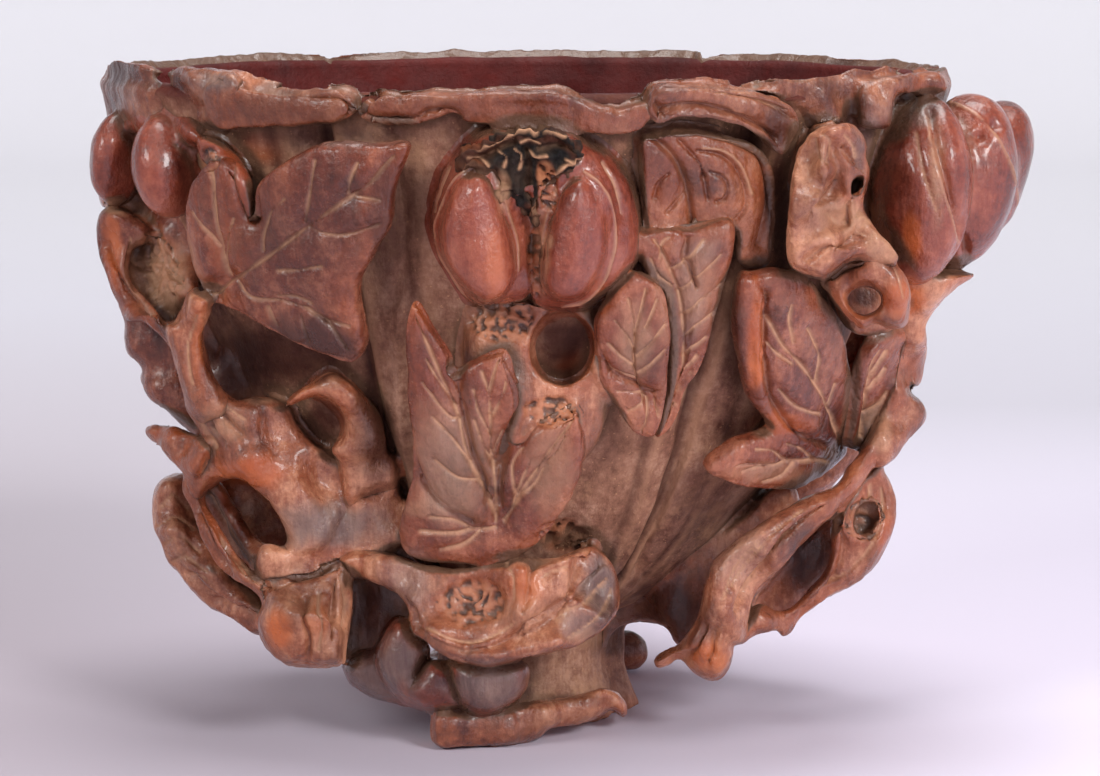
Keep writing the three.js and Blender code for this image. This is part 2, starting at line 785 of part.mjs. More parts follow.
      thickness: thickPlate,
      crown: lowCrown,
    },
  ],
  right_neck: [
    {
      outlinePixels: [
        [880, 280], [904, 266], [940, 270], [976, 274], [956, 288], [934, 310], [925, 325], [928, 345],
        [926, 365], [922, 383], [914, 388], [909, 381], [912, 392], [923, 402], [927, 415], [921, 428],
        [905, 445], [884, 467], [864, 456], [872, 430], [884, 400], [893, 365], [898, 336], [888, 315],
      ],
      faceShares: [
        [925, 285, -0.5], [910, 330, -0.42], [920, 370, -0.28], [896, 390, -0.38], [917, 412, -0.34],
        [880, 450, -0.42],
      ],
      thickness: thickPlate,
      crown: highCrown,
    },
  ],
  right_knot: [
    {
      outlinePixels: [
        [806, 134], [822, 125], [845, 121], [858, 128], [866, 142], [866, 157], [870, 172], [866, 188],
        [863, 206], [872, 225], [889, 248], [896, 262], [880, 264], [862, 258], [846, 262], [834, 270],
        [820, 277], [800, 272], [790, 263], [788, 240], [789, 210], [792, 180], [798, 155],
      ],
      faceShares: [
        [830, 134, -0.98], [806, 160, -0.9], [822, 165, -1], [812, 205, -1], [800, 245, -0.92],
        [842, 150, -0.96], [862, 160, -0.92], [854, 187, -0.9], [838, 195, -0.88], [840, 222, -0.86],
        [868, 240, -0.88], [836, 246, -0.96], [815, 262, -0.92], [886, 256, -0.84], [872, 215, -0.84],
      ],
      thickness: deepPlate,
      crown: highCrown,
    },
  ],
  right_pierced_knot: [
    {
      outlinePixels: [
        [822, 280], [838, 266], [856, 257], [874, 254], [892, 262], [904, 273], [911, 291], [909, 310],
        [904, 326], [890, 328], [876, 322], [862, 330], [850, 320], [838, 306], [828, 292],
      ],
      faceShares: [
        [835, 282, -0.76], [865, 268, -0.84], [900, 290, -0.84], [890, 318, -0.8], [862, 322, -0.78],
      ],
      thickness: thickPlate,
      crown: lowCrown,
    },
  ],
  front_fruit_crown: [
    {
      outlinePixels: [
        [458, 156], [464, 146], [480, 144], [494, 136], [506, 129], [522, 128], [536, 131], [552, 129],
        [566, 134], [580, 146], [584, 160], [574, 170], [564, 176], [550, 186], [544, 200], [536, 218],
        [526, 216], [518, 200], [500, 198], [492, 184], [488, 172], [474, 168], [462, 172],
      ],
      faceShares: [
        [480, 158, -1.13], [530, 150, -1.14], [570, 155, -1.12], [505, 185, -1.11], [530, 205, -1.09],
      ],
      thickness: thinPlate,
      crown: lowCrown,
    },
  ],
};
const knotHole = {
  outlinePixels: [
    [847, 299], [853, 290], [864, 286], [875, 289], [882, 297], [880, 308], [868, 315], [855, 312],
  ],
  faceShares: [[864, 300, -0.8]],
};

// Plates joined into one solid.
function plates(shapes, grow) {
  return shapes.map((shape) => plate(shape, grow)).reduce((joined, next) => joined.add(next));
}

// A fruit with two nuts side by side in a split husk, under a crusted crown.
function twinFruit(name, bearing, upShare, crownShape = null) {
  const nutLean = 4;
  const heart = onBowl(bearing, upShare, huskLift);
  const beside = (aside, proud, rise) => {
    const place = new THREE.Vector3(aside, -proud, rise);
    return place.applyAxisAngle(new THREE.Vector3(0, 0, 1), bearing * degree).add(heart);
  };
  const nut = (side) => {
    return { middle: beside(side * nutApart, nutProud, 0), sizes: nutSizes, bearing, lean: -side * nutLean };
  };
  const crown = { middle: beside(0, crownProud, crownRise), sizes: crownSizes, bearing };
  add(`${name}_left_nut`, fruitHorn(), (grow) => lobe(nut(-1), grow));
  add(`${name}_right_nut`, fruitHorn(), (grow) => lobe(nut(1), grow));
  add(`${name}_crown`, crustHorn(), crownShape ?? ((grow) => lobe(crown, grow)));
  add(`${name}_husk`, fruitHorn(), (grow) => lobe({ middle: heart, sizes: huskSizes, bearing }, grow));
}
twinFruit("front_fruit", 0.4, 0.85, (grow) => plates(openwork.front_fruit_crown, grow));
twinFruit("back_fruit", 184, 0.825);

// Fruit of several segments side by side: the place of each, its bearing and lean, and its sizes.
function segmentedFruit(name, segmentShares) {
  segmentShares.forEach(([placeShares, bearing, lean, sizes], i) => {
    add(`${name}_segment_${i + 1}`, fruitHorn(), (grow) => {
      return lobe({ middle: at(placeShares), sizes, bearing, lean }, grow);
    });
  });
}
segmentedFruit("right_fruit", [
  [[0.868, -0.54, 0.84], 30, 4, nearSegmentSizes],
  [[0.977, -0.38, 0.844], 20, 12, middleSegmentSizes],
  [[1.073, -0.16, 0.849], 10, 24, farSegmentSizes],
]);
segmentedFruit("left_fruit", [
  [[-0.93, -0.22, 0.875], -64, 3, smallSegmentSizes],
  [[-0.83, -0.44, 0.88], -50, 3, smallSegmentSizes],
  [[-0.69, -0.66, 0.895], -38, -4, smallSegmentSizes],
]);
segmentedFruit("low_fruit", [
  [[-0.1, -0.5, 0.095], 0, 0, berrySizes],
  [[-0.23, -0.54, 0.1], 0, 0, berrySizes],
  [[-0.36, -0.46, 0.09], 0, 0, berrySizes],
  [[-0.29, -0.46, 0.15], 0, 0, berrySizes],
]);

// The pierced stem that carries the front fruit, with its round hole.
function piercedStem(grow) {
  const [bearing, upShare] = [3, 0.6];
  const middle = onBowl(bearing, upShare, lowSeat);
  const body = lobe({ middle, sizes: stemSizes, bearing }, grow);
  const hole = middle.clone().add(new THREE.Vector3(holeAside, 0, holeRise));
  return body.subtract(drill(hole, new THREE.Vector3(0, 1, 0), stemHoleRadius));
}
add("front_pierced_stem", branchHorn(), piercedStem);

// The neck between the right fruit and the right branch.
add("right_neck", branchHorn(), (grow) => plates(openwork.right_neck, grow));

// Outlines of the leaves, in shares of the leaf's length: to its right, then along it.
const broadLeafShares = [
  [0.04, 0], [-0.06, 0], [-0.18, 0.08], [-0.3, 0.25],
  [-0.33, 0.38], [-0.3, 0.45], [-0.14, 0.42], [-0.18, 0.48],
  [-0.21, 0.65], [-0.19, 0.81], [-0.1, 0.95], [0, 1],
  [0.14, 0.77], [0.2, 0.61], [0.28, 0.46], [0.43, 0.33],
  [0.43, 0.23], [0.34, 0.16], [0.17, 0.07],
];
const maskLeafShares = [
  [0, -0.08], [-0.14, -0.1], [-0.25, -0.07], [-0.3, 0],
  [-0.29, 0.17], [-0.27, 0.33], [-0.29, 0.52], [-0.31, 0.77],
  [-0.3, 1.01], [-0.23, 0.89], [-0.15, 0.76], [-0.08, 0.79],
  [0, 0.82], [0.05, 0.72], [0.06, 0.5], [0.14, 0.53],
  [0.23, 0.6], [0.23, 0.42], [0.18, 0.17], [0.1, 0.01],
];
const sideLeafShares = [
  [0.04, 0], [-0.08, 0.07], [-0.15, 0.27], [-0.2, 0.48],
  [-0.19, 0.75], [-0.13, 0.88], [-0.03, 1], [0.08, 0.98],
  [0.14, 0.8], [0.14, 0.56], [0.1, 0.2],
];
const featherLeafShares = [
  [-0.03, 0], [-0.12, 0.2], [-0.22, 0.45], [-0.33, 0.67],
  [-0.42, 0.87], [-0.25, 0.95], [-0.1, 1], [-0.04, 0.8],
  [0, 0.55], [0.04, 0.36], [0.04, 0.2], [0.03, 0.05],
];
const hookLeafShares = [
  [0.1, -0.15], [-0.07, -0.05], [-0.18, 0.01], [-0.29, 0.17], [-0.35, 0.33], [-0.25, 0.38], [-0.14, 0.37],
  [-0.17, 0.52], [-0.13, 0.75], [-0.08, 0.91], [-0.01, 1],
  [0.08, 0.95], [0.14, 0.84], [0.16, 0.67], [0.14, 0.43],
  [0.12, 0.1],
];
const spearLeafShares = [
  [0, 0], [-0.14, 0.12], [-0.24, 0.36], [-0.23, 0.65], [-0.12, 0.87], [0, 1], [0.12, 0.87], [0.23, 0.65],
  [0.24, 0.36], [0.14, 0.12],
];
const broadLeaf = { centreShare: [0.08, 0.36], outlineShares: broadLeafShares };
const maskLeaf = { centreShare: [-0.06, 0.33], outlineShares: maskLeafShares };
const sideLeaf = { centreShare: [-0.02, 0.5], outlineShares: sideLeafShares };
const featherLeaf = { centreShare: [-0.13, 0.52], outlineShares: featherLeafShares };
const hookLeaf = { centreShare: [0, 0.3], outlineShares: hookLeafShares };
const spearLeaf = { centreShare: [0, 0.5], outlineShares: spearLeafShares };

// Each leaf's foot on the bowl, the way it points (degrees clockwise from up), and its length.
const leaves = {
  left_broad_leaf: { ...broadLeaf, bearing: -48, upShare: 0.7, turn: 58, lengthShare: 0.405 },
  front_mask_leaf: { ...maskLeaf, bearing: -5, upShare: 0.35, turn: 3, lengthShare: 0.37, seat: highSeat },
  front_side_leaf: { ...sideLeaf, bearing: 19, upShare: 0.48, turn: -10, lengthShare: 0.275, seat: midSeat },
  front_feather_leaf: {
    ...featherLeaf, bearing: 24, upShare: 0.48, turn: 13, lengthShare: 0.353, seat: lowSeat,
  },
  right_hook_leaf: { ...hookLeaf, bearing: 66, upShare: 0.43, turn: -43, lengthShare: 0.41, seat: midSeat },
  right_spear_leaf: { ...spearLeaf, bearing: 69, upShare: 0.45, turn: 4, lengthShare: 0.25, seat: highSeat },
  back_broad_leaf: { ...broadLeaf, bearing: 140, upShare: 0.56, turn: 30, lengthShare: 0.44 },
  back_hook_leaf: { ...hookLeaf, bearing: -136, upShare: 0.44, turn: -30, lengthShare: 0.42 },
  back_spear_leaf: { ...spearLeaf, bearing: 112, upShare: 0.45, turn: -8, lengthShare: 0.36 },
};
for (const [name, shape] of Object.entries(leaves)) {
  add(name, leafHorn(), (grow) => leaf(shape, grow));
}

// The openwork of the front and sides.
for (const [name, shapes] of Object.entries(openwork)) {
  if (name === "right_neck" || name.startsWith("front_fruit")) continue;
  const shape = (grow) => plates(shapes, grow);
  if (name === "right_pierced_knot") {
    const bore = (grow) => plate({ ...knotHole, thickness: deepPlate, crown: deepPlate }, -grow);
    add(name, branchHorn(), (grow) => shape(grow).subtract(bore(grow)));
  } else {
    add(name, name.endsWith("edge_leaf") || name.endsWith("rear_leaf") ? leafHorn() : branchHorn(), shape);
  }
}

// Branches round the back: the route of each, and its radii from end to end.
const branches = {
  back_branch: {
    routeShares: [
      [0.14, 0.3, 0.16], [0.32, 0.56, 0.24], [0.44, 0.68, 0.36], [0.46, 0.76, 0.5],
      [0.36, 0.9, 0.62], [0.1, 1.02, 0.69],
    ],
    radii: [boleRadius, boleRadius, trunkRadius, trunkRadius, branchRadius, branchRadius],
  },
  back_left_branch: {
    routeShares: [[-0.14, 0.3, 0.16], [-0.34, 0.52, 0.22], [-0.56, 0.6, 0.32], [-0.66, 0.6, 0.44]],
    radii: [boleRadius, trunkRadius, trunkRadius, branchRadius],
  },
  back_right_branch: {
    routeShares: [[0.38, 0.56, 0.26], [0.62, 0.46, 0.3], [0.78, 0.36, 0.38], [0.84, 0.3, 0.48]],
    radii: [trunkRadius, trunkRadius, branchRadius, branchRadius],
  },
};
for (const [name, shape] of Object.entries(branches)) {
  add(name, branchHorn(), (grow) => branch(shape, grow));
}

// Mouldings round the rim, between bearings, from a low to a high share of the rim's height.
const mouldings = {
  rim_left_arch: { from: -110, to: -58, lowShare: 0.92, highShare: 1, out: flushOut },
  rim_left_strip: { from: -56, to: -27, lowShare: 0.925, highShare: 1 },
  rim_front_strip: { from: -25, to: 15, lowShare: 0.935, highShare: 1 },
  rim_folded_leaf: { from: 17, to: 45, lowShare: 0.915, highShare: 1, out: panelOut },
  rim_right_ledge: { from: 62, to: 104, lowShare: 0.92, highShare: 1, out: flushOut },
  rim_right_rear_strip: { from: 106, to: 178, lowShare: 0.925, highShare: 1 },
  rim_left_rear_strip: { from: 180, to: 248, lowShare: 0.93, highShare: 1 },
  scroll_panel: { from: 16, to: 42, lowShare: 0.77, highShare: 0.905, out: stripOut },
};
for (const [name, shape] of Object.entries(mouldings)) {
  add(name, rimHorn(), (grow) => rimStrip(shape, grow));
}

export default cup;
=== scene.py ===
# A carved horn libation cup: a petalled bowl in openwork branches, lobed leaves and split fruit.
# All the carving is worked out as one block of distance values, in millimetres, and each sub-part is cut
# out of that block as a mesh of its own, so that limbs flow into each other as carved ones do. Only the
# bowl's wall is laid out apart from it, by Geometry Nodes.
import math
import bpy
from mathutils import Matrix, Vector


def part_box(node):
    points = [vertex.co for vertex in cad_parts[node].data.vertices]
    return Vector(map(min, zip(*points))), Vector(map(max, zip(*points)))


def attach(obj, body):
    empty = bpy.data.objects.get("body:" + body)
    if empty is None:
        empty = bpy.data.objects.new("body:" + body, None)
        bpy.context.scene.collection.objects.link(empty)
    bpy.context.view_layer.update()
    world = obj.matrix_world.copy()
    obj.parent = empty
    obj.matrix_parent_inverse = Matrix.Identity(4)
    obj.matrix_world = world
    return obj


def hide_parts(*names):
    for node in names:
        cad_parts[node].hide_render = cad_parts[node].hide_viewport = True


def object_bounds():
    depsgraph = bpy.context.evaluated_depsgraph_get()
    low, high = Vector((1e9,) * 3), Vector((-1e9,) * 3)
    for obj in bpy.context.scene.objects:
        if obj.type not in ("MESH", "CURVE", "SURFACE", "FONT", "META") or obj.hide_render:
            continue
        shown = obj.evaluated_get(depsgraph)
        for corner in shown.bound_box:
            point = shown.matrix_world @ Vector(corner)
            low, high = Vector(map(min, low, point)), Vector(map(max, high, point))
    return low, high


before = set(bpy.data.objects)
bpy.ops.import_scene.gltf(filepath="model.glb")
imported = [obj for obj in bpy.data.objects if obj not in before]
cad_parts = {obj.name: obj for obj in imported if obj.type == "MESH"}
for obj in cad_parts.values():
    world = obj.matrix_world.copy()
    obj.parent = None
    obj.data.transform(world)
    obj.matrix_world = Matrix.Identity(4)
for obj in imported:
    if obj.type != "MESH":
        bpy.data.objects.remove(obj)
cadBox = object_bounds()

from concurrent.futures import ThreadPoolExecutor

import bpy
import numpy as np
import openvdb
from mathutils import Vector

perMetre = 1000.0
degree = math.pi / 180

# The bowl, measured on the frame
wallLow, wallHigh = (np.array(corner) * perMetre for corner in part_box("cup_wall"))
bowl = {
    "halfWidth": (wallHigh[0] - wallLow[0]) / 2,
    "halfDepth": (wallHigh[1] - wallLow[1]) / 2,
    "foot": wallLow[2],
    "rim": wallHigh[2],
    "thickness": 4.5,
    "floor": 24.0,
    "flareShare": 0.39,
    "petals": 6,
    "petalTurn": 32.0,
    "grooveDepthShare": 0.05,
    "grooveHalfTurn": 2.4,
    "grooveLean": 2.2,
}
bowlRise = bowl["rim"] - bowl["foot"]

# The photograph's view, in millimetres and pixels
view = {
    "eye": (3.8, -593.9, 137.4),
    "aim": (3.8, 0.0, 51.8),
    "pixelsPerTurn": 3750.0,
    "frame": (1100, 776),
    "sensor": 36.0,
    "pixelsPerMillimetre": 6.6,
    "clipEnd": 10.0,
}

# The block of distance values
block = {
    "cell": 0.45,
    "margin": 3.0,
    "far": 20.0,
    "fillet": 1.6,
    "overlap": 1.2,
    "sink": 2.2,
    "slab": 12,
    "workers": 4,
    "crumbShare": 0.04,
    "seamEase": 0.45,
    "wallFrom": 0.5,
    "wallEase": 0.5,
    "wallCover": 1.3,
}


def clamp01(values):
    return np.clip(values, 0.0, 1.0)


def smoothStep(low, high, values):
    share = clamp01((values - low) / (high - low))
    return share * share * (3 - 2 * share)


def dot(first, second):
    return first[0] * second[0] + first[1] * second[1] + first[2] * second[2]


def blended(first, second, reach):
    # the union of two distance fields, with a fillet
    share = np.maximum(reach - np.abs(first - second), 0) / reach
    return np.minimum(first, second) - share * share * reach * 0.25


def roundedEdge(first, second, soft):
    # where two faces meet in a rounded edge
    a, b = first + soft, second + soft
    return np.hypot(np.maximum(a, 0), np.maximum(b, 0)) + np.minimum(np.maximum(a, b), 0) - soft


def sampled(points, steps):
    # a smooth run through given points
    points = np.asarray(points, float)
    ahead = np.vstack([2 * points[0] - points[1], points, 2 * points[-1] - points[-2]])
    run = []
    for i in range(len(points) - 1):
        a, b, c, d = ahead[i:i + 4]
        for k in range(steps):
            t = k / steps
            run.append(0.5 * (2 * b + (c - a) * t + (2 * a - 5 * b + 4 * c - d) * t ** 2
                              + (3 * b - a - 3 * c + d) * t ** 3))
    run.append(points[-1])
    return np.array(run)


def pairs(numbers):
    # the points of a drawn line or outline, which is held as across and down in turn
    return np.asarray(numbers, float).reshape(-1, 2)


def closedRun(points, steps):
    points = pairs(points)
    looped = np.vstack([points[-1], points, points[0], points[1]])
    return sampled(looped, steps)[steps:-steps - 1]


# Seeded lattice noise, in millimetres; the start keeps its cells above nought
lattice = np.random.default_rng(17).uniform(-1, 1, (32, 32, 32)).astype(np.float32)
latticeStart = 500


def noiseAt(points, grain):
    scaled = np.asarray(points, np.float32) / grain + latticeStart
    base = np.floor(scaled).astype(np.int64)
    part = scaled - base
    part = part * part * (3 - 2 * part)
    total = 0
    for corner in range(8):
        step = np.array([corner & 1, corner >> 1 & 1, corner >> 2])
        at = (base + step) % len(lattice)
        weight = np.prod(np.where(step, part, 1 - part), axis=-1)
        total = total + weight * lattice[at[..., 0], at[..., 1], at[..., 2]]
    return total


# Swells of hand-worked horn: how high each is, how long, and where its noise starts
handSwells = [(0.34, 11.0, 0), (0.2, 4.6, 40), (0.08, 2.1, 90)]


def unevenness(points, swells=handSwells):
    return sum(high * noiseAt(points + start, grain) for high, grain, start in swells)


# Bowl coordinates: the turn from the front, how far up the flare, and the lift off the wall
def wallPlace(turn, flareAt):
    rise = bowlRise * flareAt ** (1 / bowl["flareShare"])
    return (bowl["halfWidth"] * flareAt * np.sin(turn), -bowl["halfDepth"] * flareAt * np.cos(turn),
            bowl["foot"] + rise)


def wallFrame(turn, flareAt):
    width, depth = bowl["halfWidth"], bowl["halfDepth"]
    power = 1 / bowl["flareShare"]
    sin, cos = np.sin(turn), np.cos(turn)
    steep = bowlRise * power * flareAt ** (power - 1)
    alongTurn = (width * flareAt * cos, depth * flareAt * sin, 0 * flareAt)
    alongRise = (width * sin, -depth * cos, steep)
    normal = (depth * sin * steep, -width * cos * steep, -width * depth + 0 * flareAt)
    size = np.sqrt(normal[0] ** 2 + normal[1] ** 2 + normal[2] ** 2)
    return alongTurn, alongRise, tuple(part / size for part in normal)


solver = {"rounds": 4, "first": 0.08, "least": 0.02, "most": 1.3, "lifts": (-2, 20), "soften": 60}


def bowlCoordinates(x, y, z):
    # found in a few rounds, each a step along the wall's skin
    rise = np.clip((z - bowl["foot"]) / bowlRise, 1e-4, None)
    flareAt = np.maximum(rise ** bowl["flareShare"], solver["first"])
    turn = np.arctan2(x / bowl["halfWidth"], -y / bowl["halfDepth"])
    lift = 0
    for _ in range(solver["rounds"]):
        place = wallPlace(turn, flareAt)
        alongTurn, alongRise, normal = wallFrame(turn, flareAt)
        off = (x - place[0], y - place[1], z - place[2])
        lift = dot(off, normal)
        off = tuple(o - lift * n for o, n in zip(off, normal))
        turnSize = alongTurn[0] ** 2 + alongTurn[1] ** 2
        riseSize = alongRise[0] ** 2 + alongRise[1] ** 2 + alongRise[2] ** 2
        bend = 1 + np.clip(lift, *solver["lifts"]) / np.sqrt(turnSize + solver["soften"])
        turn = turn + (off[0] * alongTurn[0] + off[1] * alongTurn[1]) / (turnSize + 1) / bend
        flareAt = np.clip(flareAt + dot(off, alongRise) / riseSize, solver["least"], solver["most"])
    return turn, flareAt, lift


def acrossPetal(turn):
    # degrees from the nearest groove between petals
    pitch = 360 / bowl["petals"]
    return (turn - bowl["petalTurn"] + pitch / 2) % pitch - pitch / 2


def grooveAt(turn):
    # a V between petals, steeper on its right
    across = acrossPetal(turn / degree)
    half = bowl["grooveHalfTurn"]
    return np.maximum(1 - np.abs(across) / np.where(across < 0, bowl["grooveLean"] * half, half), 0)


def outerWall(turn, flareAt, lift):
    return lift + bowl["grooveDepthShare"] * bowl["halfWidth"] * flareAt * grooveAt(turn)


# The block's cells, and the bowl's coordinates in each
cell = block["cell"]
blockLow = np.array(cadBox[0]) * perMetre - block["margin"]
blockHigh = np.array(cadBox[1]) * perMetre + block["margin"]
counts = np.ceil((blockHigh - blockLow) / cell).astype(int) + 1
axes = [(blockLow[i] + cell * np.arange(counts[i])).astype(np.float32) for i in range(3)]
turnField, flareField, liftField, wallField = (np.empty(counts, np.float32) for _ in range(4))


def fillSlab(first):
    span = slice(first, min(first + block["slab"], counts[0]))
    x, y, z = axes[0][span, None, None], axes[1][None, :, None], axes[2][None, None, :]
    turn, flareAt, lift = bowlCoordinates(x, y, z + 0 * x + 0 * y)
    turnField[span], flareField[span], liftField[span] = turn, flareAt, lift
    wallField[span] = outerWall(turn, flareAt, lift)


with ThreadPoolExecutor(block["workers"]) as pool:
    list(pool.map(fillSlab, range(0, counts[0], block["slab"])))
print("bowl coordinates", tuple(counts))

union = np.full(counts, block["far"], np.float32)
nearest = np.full(counts, block["far"], np.float32)
secondNearest = np.full(counts, block["far"], np.float32)
owner = np.full(counts, -1, np.int16)
pieces = {}


def spanOf(low, high):
    first = np.maximum(np.floor((np.asarray(low) - blockLow) / cell).astype(int), 0)
    last = np.minimum(np.ceil((np.asarray(high) - blockLow) / cell).astype(int) + 1, counts)
    return tuple(slice(int(a), int(b)) for a, b in zip(first, last))


def cellsIn(span):
    return axes[0][span[0], None, None], axes[1][None, span[1], None], axes[2][None, None, span[2]]


def carve(name, low, high, distance, reach=0.8):
    # adds one shape to the block; distance(x, y, z, span) gives its field in the span's cells
    span = spanOf(np.asarray(low) - block["margin"], np.asarray(high) + block["margin"])
    x, y, z = cellsIn(span)
    field = distance(x, y, z, span).astype(np.float32)
    field = np.maximum(field, -z)
    union[span] = blended(union[span], field, reach)
    number = list(pieces).index(name) if name in pieces else len(pieces)
    if name not in pieces:
        pieces[name] = {"spans": []}
    pieces[name]["spans"].append((span, field))
    mine = owner[span] == number
    best, second, who = nearest[span], secondNearest[span], owner[span]
    closer = field < best
    second[...] = np.where(mine, second, np.where(closer, best, np.minimum(second, field)))
    best[...] = np.minimum(best, field)
    who[closer] = number


# Shapes that the carving is made of
def limbField(run, radii):
    radii = np.interp(np.linspace(0, len(radii) - 1, len(run)), np.arange(len(radii)), radii)

    def distance(x, y, z, span):
        best = None
        for i in range(len(run) - 1):
            a, b = run[i], run[i + 1]
            side = b - a
            size = max(float(side @ side), 1e-6)
            dx, dy, dz = x - a[0], y - a[1], z - a[2]
            t = clamp01(dot((dx, dy, dz), side) / size)
            gap = np.sqrt((dx - t * side[0]) ** 2 + (dy - t * side[1]) ** 2 + (dz - t * side[2]) ** 2)
            gap = gap - (radii[i] + (radii[i + 1] - radii[i]) * t)
            best = gap if best is None else np.minimum(best, gap)
        return best
    return distance


def carveLimb(name, points, radii, reach=2.4):
    run = sampled(points, 5)
    widest = max(radii)
    carve(name, run.min(0) - widest, run.max(0) + widest, limbField(run, radii), reach)


def turned(sizes, bearing, lean):
    # axes of a lobe faced to a bearing and leant to its right
    face, tilt = bearing * degree, lean * degree
    right = np.array([math.cos(face), math.sin(face), 0])
    back = np.array([-math.sin(face), math.cos(face), 0])
    up = np.array([0, 0, 1.0])
    across = math.cos(tilt) * right - math.sin(tilt) * up
    risen = math.sin(tilt) * right + math.cos(tilt) * up
    return np.array([across, back, risen]), np.asarray(sizes, float)


def carveLobe(name, middle, sizes, bearing=0, lean=0, reach=0.4, power=2.0):
    frameOf, half = turned(sizes, bearing, lean)
    middle = np.asarray(middle, float)

    def distance(x, y, z, span):
        off = (x - middle[0], y - middle[1], z - middle[2])
        local = [dot(off, row) for row in frameOf]
        near = sum(np.abs(v / s) ** power for v, s in zip(local, half)) ** (1 / power)
        steep = np.sqrt(sum((v / s ** 2) ** 2 for v, s in zip(local, half)))
        return near * (near - 1) / np.maximum(steep, 1e-4) if power == 2 else (near - 1) * half.min()
    carve(name, middle - max(sizes), middle + max(sizes), distance, reach)


def wallPoint(bearing, upShare, lift):
    turn, upShare = np.broadcast_arrays(np.asarray(bearing, float) * degree, np.asarray(upShare, float))
    rise = (upShare * bowl["rim"] - bowl["foot"]) / bowlRise
    flareAt = np.maximum(rise, 1e-4) ** bowl["flareShare"]
    place = np.stack(wallPlace(turn, flareAt), -1)
    return place + np.stack(wallFrame(turn, flareAt)[2], -1) * np.asarray(lift, float)[..., None]


# The photograph's camera: pixels to places on the bowl, and places to pixels
eye = np.array(view["eye"])
look = np.array(view["aim"]) - eye
look = look / np.linalg.norm(look)
sideways = np.cross(look, (0, 0, 1.0))
sideways = sideways / np.linalg.norm(sideways)
upwards = np.cross(sideways, look)


def pixelOf(points):
    off = points - eye
    depth = off @ look
    across = off @ sideways / depth * view["pixelsPerTurn"] + view["frame"][0] / 2
    down = view["frame"][1] / 2 - off @ upwards / depth * view["pixelsPerTurn"]
    return np.stack([across, down], -1)


def rayOf(pixels):
    pixels = np.asarray(pixels, float)
    across = (pixels[:, 0] - view["frame"][0] / 2) / view["pixelsPerTurn"]
    rise = (view["frame"][1] / 2 - pixels[:, 1]) / view["pixelsPerTurn"]
    return look + across[:, None] * sideways + rise[:, None] * upwards


# The depths between which a line of sight is searched for the wall, and in how many steps
sight = {"near": 520, "far": 625, "steps": 240}


def onWallAt(pixels, lift):
    # where the lines of sight meet the skin at that lift
    rays = rayOf(pixels)
    depths = np.linspace(sight["near"], sight["far"], sight["steps"])
    points = eye + rays[:, None, :] * depths[:, None]
    turn, flareAt, high = bowlCoordinates(points[..., 0], points[..., 1], points[..., 2])
    under = high < lift
    first = np.where(under.any(1), under.argmax(1), np.abs(high - lift).argmin(1))
    rows = np.arange(len(first))
    return turn[rows, first], flareAt[rows, first]


def atDepth(pixels, deep):
    # where the lines of sight cross the upright plane at that depth
    rays = rayOf(pixels)
    share = (np.asarray(deep, float) - eye[1]) / rays[:, 1]
    return eye + rays * share[:, None]


# Leaves: a flat chart of the wall round the leaf's middle, with the outline's distance drawn on it
class Chart:
    stretch = 1.06  # of heights, because the wall leans outwards

    def __init__(self, turn, flareAt):
        self.turn = turn
        self.flareAt = flareAt
        alongTurn, alongRise, _ = wallFrame(np.array(turn), np.array(flareAt))
        self.perTurn = float(np.hypot(alongTurn[0], alongTurn[1]))
        place = wallPlace(np.array(turn), np.array(flareAt))
        self.height = float(place[2])

    def flat(self, turn, flareAt):
        height = wallPlace(turn, flareAt)[2]
        across = (turn - self.turn + math.pi) % (2 * math.pi) - math.pi
        return across * self.perTurn, (height - self.height) * self.stretch


def outlineDistance(outline, low, high, step):
    xs = np.arange(low[0], high[0], step)
    ys = np.arange(low[1], high[1], step)
    px, py = np.meshgrid(xs, ys, indexing="ij")
    best = np.full(px.shape, 1e9)
    inside = np.zeros(px.shape, bool)
    for a, b in zip(outline, np.roll(outline, -1, 0)):
        side = b - a
        t = clamp01(((px - a[0]) * side[0] + (py - a[1]) * side[1]) / max(side @ side, 1e-9))
        best = np.minimum(best, (px - a[0] - t * side[0]) ** 2 + (py - a[1] - t * side[1]) ** 2)
        crosses = (a[1] > py) != (b[1] > py)
        with np.errstate(divide="ignore", invalid="ignore"):
            meets = px < side[0] * (py - a[1]) / side[1] + a[0]
        inside ^= crosses & meets
    return np.where(inside, -1, 1) * np.sqrt(best)


def readChart(values, low, step, u, v):
    gu = np.clip((u - low[0]) / step, 0, values.shape[0] - 1.001)
    gv = np.clip((v - low[1]) / step, 0, values.shape[1] - 1.001)
    iu, iv = gu.astype(int), gv.astype(int)
    fu, fv = gu - iu, gv - iv
    return ((values[iu, iv] * (1 - fu) + values[iu + 1, iv] * fu) * (1 - fv)
            + (values[iu, iv + 1] * (1 - fu) + values[iu + 1, iv + 1] * fu) * fv)


def toLine(points, line):
    # distance in the chart from each point to a drawn line
    line = np.asarray(line, float)
    best = np.full(len(points), 1e9)
    for a, b in zip(line[:-1], line[1:]):
        side = b - a
        t = clamp01(((points - a) @ side) / max(side @ side, 1e-9))
        best = np.minimum(best, np.linalg.norm(points - a - t[:, None] * side, axis=1))
    return best


bladeForm = {
    "thickness": 3.2,
    "crown": 1.5,
    "undercut": 4.2,
    "padReach": 3.0,
    "edgeRound": 0.9,
    "chartStep": 0.3,
    "margin": 5.0,
    "crownReach": 7.0,
    "padDepth": 1.5,
    "reach": 0.5,
}


